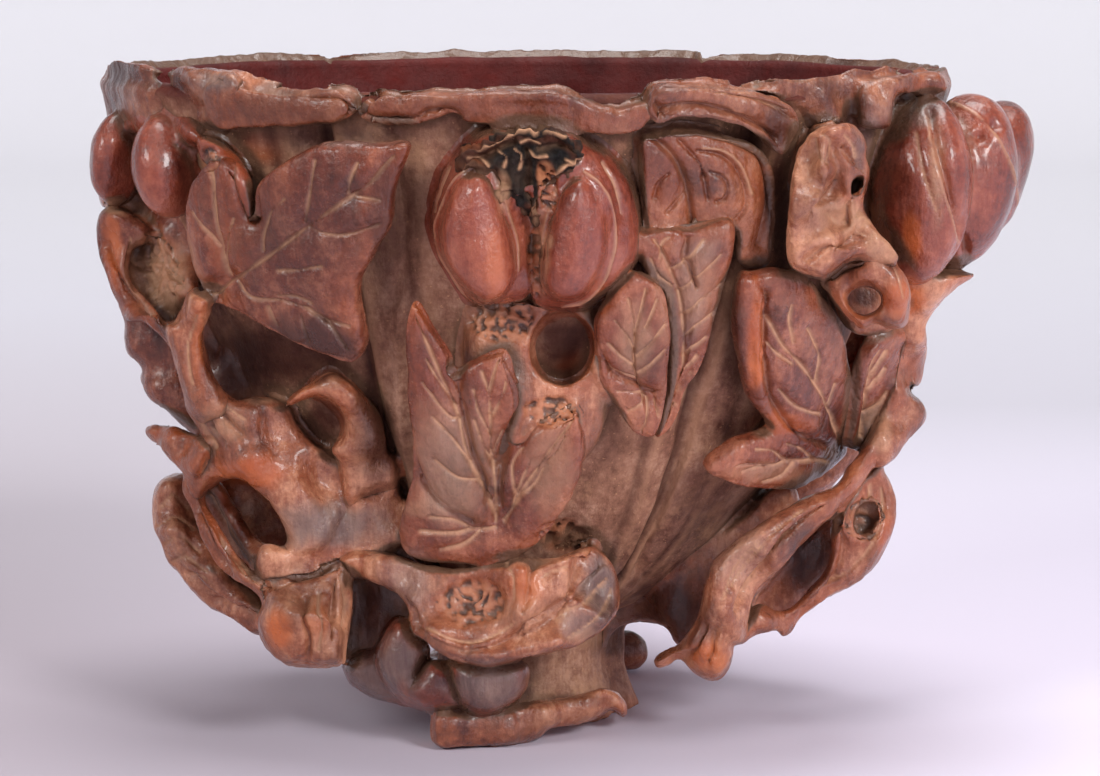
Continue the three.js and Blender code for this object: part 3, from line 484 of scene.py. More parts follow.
def carveLeaf(name, chart, outline, seat, thickness=bladeForm["thickness"], crown=bladeForm["crown"]):
    low, high = outline.min(0) - bladeForm["margin"], outline.max(0) + bladeForm["margin"]
    step = bladeForm["chartStep"]
    drawn = outlineDistance(outline, low, high, step)

    def distance(x, y, z, span):
        u, v = chart.flat(turnField[span], flareField[span])
        lift = liftField[span]
        edge = readChart(drawn, low, step, u, v)
        inner = clamp01(-edge / bladeForm["crownReach"])
        top = seat + thickness + crown * inner * (2 - inner)
        pad = smoothStep(bladeForm["undercut"], bladeForm["undercut"] + bladeForm["padReach"], -edge)
        under = seat * (1 - pad) - bladeForm["padDepth"] * pad
        return roundedEdge(edge, np.maximum(lift - top, under - lift), bladeForm["edgeRound"])

    corners = []
    for u in np.linspace(low[0], high[0], 9):
        for v in np.linspace(low[1], high[1], 9):
            rise = max((chart.height + v / chart.stretch - bowl["foot"]) / bowlRise, 1e-3)
            flareAt = rise ** bowl["flareShare"]
            turn = chart.turn + u / chart.perTurn
            place = np.stack(wallPlace(turn, flareAt))
            normal = np.stack(wallFrame(np.array(turn), np.array(flareAt))[2])
            corners += [place, place + normal * (seat + thickness + crown + 1)]
    corners = np.array(corners)
    carve(name, corners.min(0), corners.max(0), distance, bladeForm["reach"])
    pieces[name]["chart"] = chart


def leafFromPixels(name, pixels, lift, seat, **options):
    turn, flareAt = onWallAt(pairs(pixels), lift)
    chart = Chart(float(turn.mean()), float(flareAt.mean()))
    outline = closedRun(np.stack(chart.flat(turn, flareAt), -1), 3)
    carveLeaf(name, chart, outline, seat, **options)


def leafFromShares(name, shape):
    rise = (shape["upShare"] * bowl["rim"] - bowl["foot"]) / bowlRise
    chart = Chart(shape["bearing"] * degree, rise ** bowl["flareShare"])
    length = shape["lengthShare"] * bowl["rim"]
    turn = shape["turn"] * degree
    right, along = (np.array(shape["outlineShares"]) * length).T
    across = right * math.cos(turn) + along * math.sin(turn)
    risen = along * math.cos(turn) - right * math.sin(turn)
    carveLeaf(name, chart, closedRun(np.stack([across, risen], -1), 3), shape["seat"])


stripForm = {"round": 1.3, "root": 3.0, "reach": 0.6, "steps": 24}


def carveStrip(name, shape):
    # a moulding round the rim, between two bearings and two heights, with rounded edges
    low, high = shape["lowShare"] * bowl["rim"], shape["highShare"] * bowl["rim"]
    middle = (shape["from"] + shape["to"]) / 2 * degree
    out, soft, root = shape["out"], stripForm["round"], stripForm["root"]
    wide = (shape["to"] - shape["from"]) / 2 * degree

    def distance(x, y, z, span):
        turn = turnField[span]
        across = np.abs((turn - middle + math.pi) % (2 * math.pi) - math.pi)
        radius = np.hypot(x, y)
        side = (across - wide) * radius
        height = wallPlace(turn, flareField[span])[2]
        height = np.where(liftField[span] < 0, z, height)
        tall = np.abs(height - (low + high) / 2) - (high - low) / 2
        face = np.maximum(liftField[span] - out, -root - liftField[span])
        parts = [side + soft, tall + soft, face + soft]
        outside = np.sqrt(sum(np.maximum(p, 0) ** 2 for p in parts))
        return outside + np.minimum(np.maximum(np.maximum(parts[0], parts[1]), parts[2]), 0) - soft

    bearings = np.linspace(shape["from"], shape["to"], stripForm["steps"])
    corners = np.vstack([wallPoint(bearings, share, np.full(len(bearings), lift))
                         for share in (shape["lowShare"], shape["highShare"]) for lift in (-root, out)])
    carve(name, corners.min(0), corners.max(0), distance, stripForm["reach"])


def shares(points):
    return np.asarray(points, float) * (bowl["halfWidth"], bowl["halfDepth"], bowl["rim"])


# The root stump under the bowl, and the bent branch that lies under its rear
stump = {"halfWidth": 17.0, "halfDepth": 16.0, "top": 27.0, "heights": (0, 6.7, 13.5, 27),
         "widthShares": (1, 0.86, 0.86, 1.2), "lobes": ((0.05, 5, 0.6), (0.03, 9, 0)), "room": 1.3}
rearFoot = {"routeShares": [(0.26, 0.5), (0.02, 0.44), (-0.16, 0.34), (-0.25, 0.1)], "upShare": 0.034,
            "radii": (3.6, 3.6, 3.6, 2.9), "reach": 1.2}


def carveStump():
    def distance(x, y, z, span):
        wide = np.interp(z, stump["heights"], stump["widthShares"])
        around = np.arctan2(x, y)
        lobed = 1 + sum(high * np.sin(around * count + start) for high, count, start in stump["lobes"])
        near = np.hypot(x / stump["halfWidth"], y / stump["halfDepth"]) / lobed
        side = (near - wide) * stump["halfDepth"]
        return np.maximum(side, z - stump["top"])
    room = np.array([stump["halfWidth"], stump["halfDepth"], 0]) * stump["room"]
    carve("base_stump", -room, room + (0, 0, stump["top"]), distance)
    points = [(a, d, rearFoot["upShare"]) for a, d in rearFoot["routeShares"]]
    carveLimb("rear_foot_branch", shares(points), rearFoot["radii"], rearFoot["reach"])


# Fruit with two nuts side by side, each held by its own half of a split husk, under a dry crust
twinFruit = {
    "back_fruit": {"bearing": 184.0, "upShare": 0.82},
    "nutTurn": 5.5, "nutLean": 3, "nutLift": 9.6, "nutDrop": -0.02, "nutSizes": (6.1, 6.6, 9.9),
    "huskTurn": 5.9, "huskLift": 7.4, "huskRise": 0.012, "huskSizes": (8.4, 8.2, 13.0),
    "gapSizes": (3.0, 4.0, 12.0), "gapLift": 9.5,
    "crownLift": 9.0, "crownRise": 0.098, "crownSizes": (7.0, 5.6, 4.8),
    "crustAt": [(0.1, 12.5), (0.05, 13.5), (0.0, 13.0)], "crustRadii": (2.6, 1.8, 0.9),
    "nutReach": 0.15, "crownReach": 0.6, "crustReach": 0.5, "huskReach": 0.5, "huskLean": 2, "gapReach": 1.2,
}


def carveTwinFruit(name):
    place = twinFruit[name]
    bearing, up = place["bearing"], place["upShare"]
    for side, word in ((-1, "left"), (1, "right")):
        turn = bearing + side * twinFruit["nutTurn"]
        middle = wallPoint(turn, up + twinFruit["nutDrop"], twinFruit["nutLift"])
        lean = -side * twinFruit["nutLean"]
        carveLobe(f"{name}_{word}_nut", middle, twinFruit["nutSizes"], bearing, lean, twinFruit["nutReach"])
    crown = wallPoint(bearing, up + twinFruit["crownRise"], twinFruit["crownLift"])
    carveLobe(f"{name}_crown", crown, twinFruit["crownSizes"], bearing, 0, twinFruit["crownReach"])
    crust = [wallPoint(bearing, up + rise, lift) for rise, lift in twinFruit["crustAt"]]
    carveLimb(f"{name}_crown", np.array(crust), twinFruit["crustRadii"], twinFruit["crustReach"])
    for side in (-1, 1):
        turn = bearing + side * twinFruit["huskTurn"]
        husk = wallPoint(turn, up + twinFruit["huskRise"], twinFruit["huskLift"])
        lean = side * twinFruit["huskLean"]
        carveLobe(f"{name}_husk", husk, twinFruit["huskSizes"], bearing, lean, twinFruit["huskReach"])
    gap = wallPoint(bearing, up, twinFruit["gapLift"])
    carveLobe(f"{name}_husk", gap, twinFruit["gapSizes"], bearing, 0, twinFruit["gapReach"])


# Fruit of several segments. Each is a pixel across and down, a depth, its half sizes, bearing and lean
segmentFruit = {
    "right_fruit": [
        (921, 190, -26, (6.9, 9.4, 14.2), 30, 5),
        (961, 182, -17, (8.4, 9.8, 13.8), 20, 14),
        (985, 173, -7, (6.5, 9.8, 12.2), 10, 22),
    ],
    "left_fruit": [
        (118, 157, -14, (3.7, 6.5, 7.5), -20, 6),
        (168, 167, -26, (5.1, 7.0, 8.0), -25, -8),
    ],
}
segmentReach = 1.8


def carveSegmentFruit(name):
    for i, (across, down, depth, sizes, bearing, lean) in enumerate(segmentFruit[name]):
        middle = atDepth([(across, down)], depth)[0]
        carveLobe(f"{name}_segment_{i + 1}", middle, sizes, bearing, lean, segmentReach)


# Leaves seen from the front, drawn in the photograph's pixels, across and down in turn; lift is that of
# the drawn edge, and seat that of the blade's underside
frontLeaves = {
    "left_broad_leaf": {"lift": 8, "seat": 4.6, "outline": [
        210, 298, 195, 280, 183, 240, 185, 192, 200, 168, 219, 161, 234, 178, 240, 200, 250, 219, 254, 190,
        268, 173, 286, 160, 310, 148, 340, 145, 373, 148, 406, 146, 404, 163, 394, 192, 390, 226, 378, 248,
        360, 278, 354, 304, 360, 330, 362, 350, 353, 364, 335, 361, 305, 350, 281, 338, 250, 321, 216, 307]},
    "front_mask_leaf": {"lift": 10, "seat": 7.5, "outline": [
        500, 562, 450, 562, 412, 555, 400, 537, 404, 500, 413, 464, 408, 420, 406, 360, 412, 303, 431, 328,
        450, 358, 456, 372, 480, 360, 505, 352, 517, 382, 520, 412, 516, 440, 532, 433, 554, 422, 579, 409,
        584, 440, 580, 470, 566, 508, 538, 542]},
    "front_side_leaf": {"lift": 9, "seat": 4.6, "outline": [
        632, 280, 611, 304, 597, 327, 599, 372, 602, 386, 616, 408, 634, 438, 658, 443, 670, 410, 674, 350,
        668, 300, 652, 283]},
    "front_feather_leaf": {"lift": 6, "seat": 2, "outline": [
        640, 236, 700, 231, 737, 225, 731, 270, 717, 320, 706, 366, 688, 395, 681, 418, 668, 437, 656, 442,
        668, 400, 672, 350, 664, 295, 650, 280]},
    "right_hook_leaf": {"lift": 9, "seat": 4.6, "outline": [
        858, 458, 843, 468, 824, 484, 798, 496, 770, 496, 742, 490, 710, 477, 745, 448, 780, 437, 757, 405,
        744, 355, 742, 315, 747, 284, 762, 280, 780, 276, 800, 279, 817, 286, 838, 312, 850, 340, 857, 374,
        858, 423]},
    "right_spear_leaf": {"lift": 11, "seat": 7.5, "outline": [
        856, 452, 862, 423, 865, 390, 870, 364, 885, 343, 908, 330, 906, 352, 902, 382, 893, 407, 884, 436,
        868, 450]},
}

rimPlates = {
    "rim_left_strip": {"lift": 3.6, "seat": 0.4, "thickness": 3.4, "outline": [
        204, 84, 222, 80, 250, 86, 290, 92, 336, 91, 350, 98, 357, 108, 350, 119, 330, 125, 290, 128,
        250, 131, 222, 132, 206, 122, 200, 104]},
    "rim_front_strip": {"lift": 3.6, "seat": 0.4, "thickness": 3.4, "outline": [
        358, 118, 360, 106, 370, 99, 400, 99, 450, 98, 500, 95, 548, 92, 572, 98, 592, 108, 616, 112,
        640, 104, 650, 112, 648, 128, 630, 136, 598, 137, 540, 132, 470, 126, 456, 117, 436, 121, 410, 126,
        378, 126]},
    "rim_folded_leaf": {"lift": 4.5, "seat": 0.5, "thickness": 4.2, "outline": [
        646, 112, 650, 96, 665, 88, 700, 86, 740, 89, 774, 97, 797, 108, 803, 124, 797, 140, 784, 156,
        774, 152, 762, 140, 742, 130, 712, 122, 680, 121, 656, 126]},
    "scroll_panel": {"lift": 3.6, "seat": 0.3, "thickness": 3.2, "outline": [
        640, 142, 656, 133, 690, 129, 730, 135, 760, 148, 772, 165, 777, 200, 776, 240, 770, 266, 750, 272,
        738, 262, 738, 232, 705, 230, 652, 232, 645, 215, 642, 172]},
}

rimCrown = 0.6  # how far a rim plate's face swells, in millimetres

# Leaves that are drawn by shares of their length: to the right, then along
broadLeafShares = [
    (0.04, 0), (-0.06, 0), (-0.18, 0.08), (-0.3, 0.25), (-0.33, 0.38), (-0.3, 0.45), (-0.14, 0.42),
    (-0.18, 0.48), (-0.21, 0.65), (-0.19, 0.81), (-0.1, 0.95), (0, 1), (0.14, 0.77), (0.2, 0.61),
    (0.28, 0.46), (0.43, 0.33), (0.43, 0.23), (0.34, 0.16), (0.17, 0.07)]
hookLeafShares = [
    (0.1, -0.15), (-0.07, -0.05), (-0.18, 0.01), (-0.29, 0.17), (-0.35, 0.33), (-0.25, 0.38), (-0.14, 0.37),
    (-0.17, 0.52), (-0.13, 0.75), (-0.08, 0.91), (-0.01, 1), (0.08, 0.95), (0.14, 0.84), (0.16, 0.67),
    (0.14, 0.43), (0.12, 0.1)]
spearLeafShares = [
    (0, 0), (-0.14, 0.12), (-0.24, 0.36), (-0.23, 0.65), (-0.12, 0.87), (0, 1), (0.12, 0.87), (0.23, 0.65),
    (0.24, 0.36), (0.14, 0.12)]
otherLeaves = {
    "back_broad_leaf": {"outlineShares": broadLeafShares, "bearing": 140, "upShare": 0.56, "turn": 30,
                        "lengthShare": 0.44, "seat": 4.6},
    "back_hook_leaf": {"outlineShares": hookLeafShares, "bearing": -136, "upShare": 0.44, "turn": -30,
                       "lengthShare": 0.42, "seat": 4.6},
    "back_spear_leaf": {"outlineShares": spearLeafShares, "bearing": 112, "upShare": 0.45, "turn": -8,
                        "lengthShare": 0.36, "seat": 4.6},
}

# Openwork seen from the front, cut as plates across the line of sight. Outlines and holes are in the
# photograph's pixels, across and down in turn; front lists pixels with the depth of the face there, and
# crown is how far the face swells
plates = {
    "left_leaf_stem": [
        {"outline": [214, 296, 192, 291, 184, 303, 177, 321, 166, 325, 166, 342, 172, 362, 178, 384,
         186, 405, 205, 422, 226, 412, 222, 392, 214, 372, 208, 350, 206, 333, 212, 314],
         "front": [(200, 300, -35), (180, 345, -31), (198, 400, -31)], "thick": 8, "crown": 2.0,
         "reach": 3.5},
        {"outline": [196, 304, 230, 312, 262, 330, 282, 352, 300, 380, 276, 402, 240, 404, 214, 398,
         200, 366, 192, 336], "front": [(210, 330, -14), (250, 350, -18), (240, 390, -17)], "thick": 6,
         "crown": 0.0, "reach": 2.0}],
    "left_cross_branch": [
        {"outline": [184, 400, 196, 425, 208, 450, 198, 470, 190, 482, 198, 497, 212, 487, 225, 480,
         245, 482, 262, 495, 277, 516, 286, 540, 284, 556, 300, 562, 325, 552, 345, 525, 354, 500, 350, 478,
         342, 460, 328, 450, 312, 440, 298, 422, 289, 404, 262, 396, 240, 399, 226, 392, 210, 380],
         "front": [(200, 420, -30), (240, 430, -31), (285, 430, -28), (250, 465, -32), (300, 500, -32),
         (330, 480, -27), (300, 550, -31), (205, 480, -24)], "thick": 9, "crown": 1.4, "reach": 3.0,
         "soft": 2.2}],
    "left_arch_branch": [
        {"outline": [287, 405, 294, 394, 310, 384, 328, 371, 345, 378, 360, 391, 373, 406, 382, 425,
         386, 446, 396, 458, 402, 474, 396, 488, 380, 492, 360, 498, 348, 506, 342, 486, 338, 462, 332, 450,
         342, 435, 344, 420, 336, 406, 320, 398, 304, 399], "front": [(300, 392, -36), (345, 398, -37),
         (368, 430, -35), (385, 470, -30), (350, 480, -30), (345, 440, -33)], "thick": 9, "crown": 1.6,
         "reach": 2.6}],
    "left_outer_strut": [
        {"outline": [186, 474, 200, 490, 210, 510, 224, 535, 240, 556, 256, 574, 268, 584, 266, 606,
         256, 596, 240, 584, 222, 572, 208, 552, 198, 528, 190, 505, 182, 488], "front": [(192, 490, -23),
         (215, 540, -27), (258, 590, -31)], "thick": 5, "crown": 0.8, "reach": 2.0},
        {"outline": [200, 486, 222, 482, 236, 508, 254, 535, 276, 552, 268, 580, 244, 566, 220, 530],
         "front": [(214, 490, -18), (240, 530, -21), (266, 566, -25)], "thick": 7, "crown": 1.0,
         "reach": 3.0}],
    "left_inner_strut": [
        {"outline": [262, 545, 290, 548, 318, 556, 326, 575, 300, 584, 272, 584, 256, 572],
         "front": [(280, 560, -31), (310, 570, -30)], "thick": 10, "crown": 1.4, "reach": 3.0}],
    "left_thorn_bud": [
        {"outline": [143, 432, 149, 424, 162, 423, 178, 426, 196, 434, 212, 447, 207, 460, 196, 478,
         184, 472, 170, 458, 156, 446], "front": [(147, 430, -17), (180, 445, -22), (204, 455, -28)],
         "thick": 6, "crown": 1.4, "reach": 2.4}],
    "left_scale_leaf": [
        {"outline": [172, 472, 158, 480, 151, 500, 153, 526, 162, 546, 167, 562, 177, 572, 190, 590,
         212, 609, 237, 623, 258, 634, 280, 625, 300, 600, 306, 560, 292, 515, 252, 476, 212, 474, 190, 472],
         "front": [(160, 500, -12), (175, 540, -16), (205, 582, -19), (245, 615, -22), (275, 560, -6),
         (240, 500, -4), (200, 500, -9)], "thick": 8, "crown": 2.2, "reach": 4.0, "soft": 2.0}],
    "left_hollow_stub": [
        {"outline": [262, 582, 272, 575, 290, 568, 308, 569, 326, 561, 344, 558, 352, 575, 354, 600,
         352, 628, 348, 652, 345, 665, 325, 670, 302, 668, 285, 665, 271, 654, 261, 640, 257, 622, 262, 604],
         "front": [(275, 640, -34), (300, 620, -37), (325, 625, -36), (345, 600, -32), (300, 578, -31),
         (325, 572, -31)], "thick": 14, "crown": 2.4, "reach": 4.0, "soft": 2.4}],
    "left_root": [
        {"outline": [338, 548, 370, 544, 410, 548, 440, 600, 430, 640, 400, 664, 362, 668, 336, 660,
         334, 600], "front": [(350, 600, -20), (400, 600, -22), (375, 550, -24)], "thick": 12, "crown": 0.0,
         "reach": 2.0},
        {"outline": [284, 554, 302, 540, 320, 525, 343, 512, 352, 498, 376, 490, 398, 484, 404, 496,
         420, 505, 410, 525, 406, 545, 384, 556, 360, 558, 340, 564, 318, 572, 290, 576, 266, 584, 268, 568],
         "front": [(300, 555, -30), (345, 530, -29), (398, 498, -29), (400, 545, -31)], "thick": 10,
         "crown": 1.2, "reach": 3.0}],
    "left_edge_leaf": [
        {"outline": [103, 209, 96, 222, 95, 240, 101, 264, 108, 285, 117, 305, 126, 322, 142, 322, 156, 334,
         168, 342, 180, 326, 194, 300, 198, 286, 188, 292, 179, 312, 167, 320, 158, 310, 146, 298, 136, 285,
         131, 268, 135, 250, 146, 244, 154, 238, 150, 226, 134, 215, 119, 208], "front": [(98, 235, -16),
         (112, 285, -19), (130, 220, -18), (165, 330, -28), (190, 300, -33)], "thick": 7, "crown": 1.4,
         "reach": 2.4},
        {"outline": [104, 204, 130, 192, 160, 196, 190, 206, 200, 288, 182, 320, 165, 326, 138, 302,
         118, 276], "front": [(120, 205, -12), (130, 240, -13), (130, 285, -16), (170, 240, -20),
         (185, 290, -27), (160, 310, -22)], "thick": 8, "crown": 0.0, "reach": 3.0}],
    "left_rear_leaf": [
        {"outline": [116, 300, 123, 322, 123, 338, 129, 354, 141, 367, 141, 382, 150, 401, 164, 411,
         178, 424, 200, 440, 214, 424, 200, 390, 190, 356, 178, 326, 160, 306, 140, 300],
         "front": [(126, 320, -12), (135, 360, -13), (160, 400, -15), (165, 345, -14)], "thick": 6,
         "crown": 1.6, "reach": 2.6}],
    "front_curled_leaf": [
        {"outline": [340, 560, 354, 551, 380, 553, 404, 557, 430, 566, 470, 566, 520, 558, 548, 558,
         574, 548, 592, 543, 604, 552, 616, 570, 622, 596, 617, 616, 604, 632, 588, 641, 566, 652, 530, 657,
         492, 667, 470, 665, 448, 659, 426, 642, 412, 632, 407, 612, 398, 596, 380, 585, 352, 576],
         "front": [(350, 563, -31), (395, 572, -34), (412, 610, -37), (438, 642, -41), (480, 655, -42),
         (540, 646, -42), (590, 622, -39), (614, 590, -34), (596, 556, -35), (560, 565, -40),
         (520, 585, -42), (524, 615, -43), (470, 585, -36), (445, 600, -37), (490, 605, -38),
         (430, 575, -36), (565, 605, -41)], "thick": 12, "crown": 1.6, "reach": 2.2}],
    "right_branch": [
        {"outline": [872, 438, 852, 462, 836, 484, 800, 500, 769, 516, 740, 536, 716, 556, 705, 580,
         700, 602, 692, 625, 680, 641, 664, 650, 653, 659, 657, 668, 670, 666, 680, 660, 690, 670, 701, 678,
         716, 680, 727, 671, 733, 655, 733, 646, 742, 640, 748, 622, 752, 602, 766, 583, 782, 568, 796, 551,
         812, 535, 832, 519, 844, 508, 856, 492, 868, 474, 880, 455], "front": [(866, 458, -22),
         (822, 505, -27), (770, 550, -30), (728, 600, -30), (708, 645, -29), (665, 658, -26),
         (850, 490, -24), (760, 585, -27)], "thick": 9, "crown": 1.8, "reach": 3.2, "soft": 2.4}],
    "right_lower_branch": [
        {"outline": [860, 480, 878, 465, 886, 470, 893, 486, 897, 506, 893, 530, 885, 552, 872, 571,
         855, 585, 830, 598, 815, 610, 800, 622, 791, 634, 782, 638, 775, 632, 756, 635, 740, 642, 746, 620,
         758, 604, 776, 610, 792, 604, 806, 590, 820, 575, 830, 552, 830, 532, 836, 518, 848, 500],
         "front": [(885, 500, -15), (866, 560, -18), (800, 612, -20), (752, 628, -24), (840, 525, -22),
         (868, 515, -17)], "thick": 8, "crown": 1.4, "reach": 2.6},
        {"outline": [744, 620, 764, 580, 780, 560, 806, 534, 836, 512, 852, 540, 846, 580, 812, 608,
         786, 616], "front": [(790, 590, -8), (825, 545, -8)], "thick": 6, "crown": 0.0, "reach": 3.0},
        {"outline": [598, 612, 620, 590, 660, 570, 700, 545, 740, 515, 785, 480, 800, 505, 790, 560,
         760, 600, 742, 640, 706, 648, 690, 650, 674, 642, 664, 626, 640, 621, 618, 628, 602, 650],
         "front": [(620, 620, -6), (690, 610, -12), (770, 540, -12), (770, 500, -12)], "thick": 10,
         "crown": 1.0, "reach": 3.0}],
    "right_neck": [
        {"outline": [880, 280, 904, 266, 940, 270, 976, 274, 956, 288, 934, 310, 925, 325, 928, 345,
         926, 365, 922, 383, 914, 388, 909, 381, 912, 392, 923, 402, 927, 415, 921, 428, 905, 445, 884, 467,
         864, 456, 872, 430, 884, 400, 893, 365, 898, 336, 888, 315], "front": [(925, 285, -25),
         (910, 330, -21), (920, 370, -14), (896, 390, -19), (917, 412, -17), (880, 450, -21)], "thick": 9,
         "crown": 1.6, "reach": 2.6}],
    "right_knot": [
        {"outline": [806, 134, 822, 125, 845, 121, 858, 128, 866, 142, 866, 157, 870, 172, 866, 188,
         863, 206, 872, 225, 889, 248, 896, 262, 880, 264, 862, 258, 846, 262, 834, 270, 820, 277, 800, 272,
         790, 263, 788, 240, 789, 210, 792, 180, 798, 155], "front": [(830, 134, -49), (806, 160, -45),
         (822, 165, -50), (812, 205, -50), (800, 245, -46), (842, 150, -48), (862, 160, -46),
         (854, 187, -45), (838, 195, -44), (840, 222, -43), (868, 240, -44), (836, 246, -48),
         (815, 262, -46), (886, 256, -42), (872, 215, -42)], "thick": 12, "crown": 1.6, "reach": 2.0}],
    "right_pierced_knot": [
        {"outline": [836, 272, 892, 270, 906, 300, 896, 326, 856, 334, 834, 308], "front": [(865, 300, -27)],
         "thick": 7, "crown": 0.0, "reach": 2.0},
        {"outline": [822, 280, 838, 266, 856, 257, 874, 254, 892, 262, 904, 273, 911, 291, 909, 310,
         904, 326, 890, 328, 876, 322, 862, 330, 850, 320, 838, 306, 828, 292], "holes": [[847, 299,
         853, 290, 864, 286, 875, 289, 882, 297, 880, 308, 868, 315, 855, 312]], "front": [(835, 282, -38),
         (865, 268, -42), (900, 290, -42), (890, 318, -40), (862, 322, -39)], "thick": 9, "crown": 1.4,
         "reach": 2.2}],
    "front_fruit_husk": [
        {"outline": [431, 215, 434, 190, 442, 168, 456, 150, 470, 133, 487, 124, 505, 121, 520, 125,
         533, 131, 545, 126, 560, 122, 577, 127, 592, 140, 610, 152, 624, 168, 634, 186, 640, 206, 642, 228,
         640, 250, 634, 266, 622, 282, 604, 296, 588, 306, 566, 312, 540, 310, 515, 306, 496, 306, 474, 300,
         458, 280, 444, 258, 435, 238], "front": [(470, 210, -51), (590, 210, -51), (530, 250, -46),
         (530, 170, -50), (530, 296, -45), (440, 220, -47), (636, 220, -47)], "thick": 10, "crown": 5.0,
         "reach": 6.0, "soft": 2.6}],
    "front_fruit_left_nut": [
        {"outline": [470, 171, 486, 172, 497, 188, 506, 214, 513, 242, 514, 268, 507, 290, 494, 301,
         480, 300, 464, 286, 450, 265, 442, 242, 441, 220, 448, 198, 457, 180], "front": [(478, 236, -53.6)],
         "thick": 8, "crown": 4.6, "reach": 5.0, "soft": 1.2}],
    "front_fruit_right_nut": [
        {"outline": [580, 175, 592, 182, 604, 206, 611, 234, 608, 260, 598, 280, 581, 299, 562, 302,
         549, 294, 543, 275, 545, 248, 549, 220, 557, 195, 568, 180], "front": [(577, 238, -53.6)],
         "thick": 8, "crown": 4.8, "reach": 5.0, "soft": 1.2}],
    "front_fruit_crown": [
        {"outline": [458, 156, 464, 146, 480, 144, 494, 136, 506, 129, 522, 128, 536, 131, 552, 129,
         566, 134, 580, 146, 584, 160, 574, 170, 564, 176, 550, 186, 544, 200, 536, 218, 526, 216, 518, 200,
         500, 198, 492, 184, 488, 172, 474, 168, 462, 172], "front": [(480, 158, -56.5), (530, 150, -57),
         (570, 155, -56), (505, 185, -55.5), (530, 205, -54.5)], "thick": 6, "crown": 0.8, "reach": 1.6,
         "soft": 0.8}],
    "left_fruit_segment_1": [
        {"outline": [93, 168, 95, 153, 103, 145, 108, 160, 107, 185, 109, 202, 103, 208, 97, 196],
         "front": [(98, 175, -6)], "thick": 10, "crown": 3.0, "reach": 2.4, "soft": 2.4}],
    "left_fruit_segment_2": [
        {"outline": [108, 132, 124, 113, 150, 106, 184, 112, 208, 128, 213, 142, 196, 150, 160, 140,
         134, 136, 120, 142], "front": [(120, 125, -15), (150, 115, -22), (200, 135, -31)], "thick": 12,
         "crown": 3.0, "reach": 3.0, "soft": 2.4}],
    "left_fruit_segment_3": [
        {"outline": [196, 138, 214, 138, 237, 156, 250, 178, 254, 200, 250, 219, 243, 206, 233, 184,
         216, 168, 202, 160], "front": [(205, 146, -38), (248, 205, -42)], "thick": 6, "crown": 1.6,
         "reach": 2.0, "soft": 1.2}],
    "low_fruit_segment_1": [
        {"outline": [343, 668, 350, 657, 364, 650, 382, 650, 394, 670, 402, 692, 406, 705, 390, 703,
         372, 699, 356, 690, 346, 680], "front": [(370, 678, -23)], "thick": 10, "crown": 3.4, "reach": 3.4,
         "soft": 2.0}],
    "low_fruit_segment_2": [
        {"outline": [392, 620, 380, 638, 374, 656, 379, 676, 390, 692, 404, 704, 416, 707, 422, 690,
         425, 668, 430, 648, 418, 630, 405, 618], "front": [(400, 660, -29)], "thick": 10, "crown": 3.6,
         "reach": 3.6, "soft": 2.2}],
    "low_fruit_segment_3": [
        {"outline": [404, 692, 418, 672, 430, 660, 446, 662, 456, 676, 460, 694, 460, 707, 440, 713,
         418, 710], "front": [(435, 688, -31)], "thick": 9, "crown": 3.0, "reach": 3.4, "soft": 2.0}],
    "low_fruit_segment_4": [
        {"outline": [448, 664, 470, 660, 500, 659, 526, 663, 528, 680, 520, 697, 505, 707, 490, 714,
         474, 714, 461, 707, 453, 688], "front": [(490, 688, -32)], "thick": 11, "crown": 3.8, "reach": 4.0,
         "soft": 2.2}],
    "rim_left_arch": [
        {"outline": [108, 124, 106, 92, 109, 74, 120, 66, 148, 65, 176, 65, 196, 70, 214, 68, 234, 70,
         243, 80, 240, 98, 222, 108, 200, 106, 190, 96, 182, 84, 164, 78, 140, 79, 126, 86, 120, 98,
         119, 124], "front": [(112, 95, -8), (150, 70, -24), (200, 85, -37), (238, 85, -42)], "thick": 6,
         "crown": 1.2, "reach": 2.0},
        {"outline": [118, 92, 150, 78, 190, 84, 236, 96, 234, 128, 200, 124, 160, 112, 122, 120],
         "front": [(130, 100, -10), (170, 100, -24), (225, 112, -38)], "thick": 8, "crown": 0.6,
         "reach": 2.0}],
    "rim_right_ledge": [
        {"outline": [856, 126, 855, 98, 860, 84, 872, 77, 890, 73, 920, 71, 941, 74, 946, 90, 920, 95,
         901, 98, 895, 112, 890, 128, 872, 130], "front": [(866, 105, -36), (890, 82, -34), (936, 82, -26)],
         "thick": 7, "crown": 1.2, "reach": 2.0},
        {"outline": [736, 92, 762, 85, 792, 81, 830, 78, 858, 76, 872, 84, 856, 100, 846, 124, 816, 128,
         800, 112, 772, 98], "front": [(760, 92, -42), (820, 100, -38), (850, 90, -34)], "thick": 6,
         "crown": 0.8, "reach": 2.0},
        {"outline": [862, 78, 868, 67, 885, 61, 905, 63, 917, 72, 906, 82, 880, 84],
         "front": [(888, 72, -16)], "thick": 7, "crown": 1.2, "reach": 1.6}],
    "front_foot_branch": [
        {"outline": [433, 712, 430, 735, 436, 749, 446, 753, 470, 751, 500, 746, 522, 742, 540, 736,
         552, 728, 575, 727, 600, 718, 612, 711, 624, 717, 628, 708, 620, 694, 604, 686, 590, 690, 560, 698,
         530, 702, 505, 708, 480, 713, 455, 711], "front": [(440, 735, -32), (500, 730, -30),
         (535, 722, -28), (580, 710, -24), (622, 705, -20)], "thick": 8, "crown": 1.2, "reach": 2.6,
         "soft": 1.4}],
}
plateForm = {"soft": 1.5, "step": 0.35, "margin": 4.0, "reach": 1.2, "blend": 1.5}


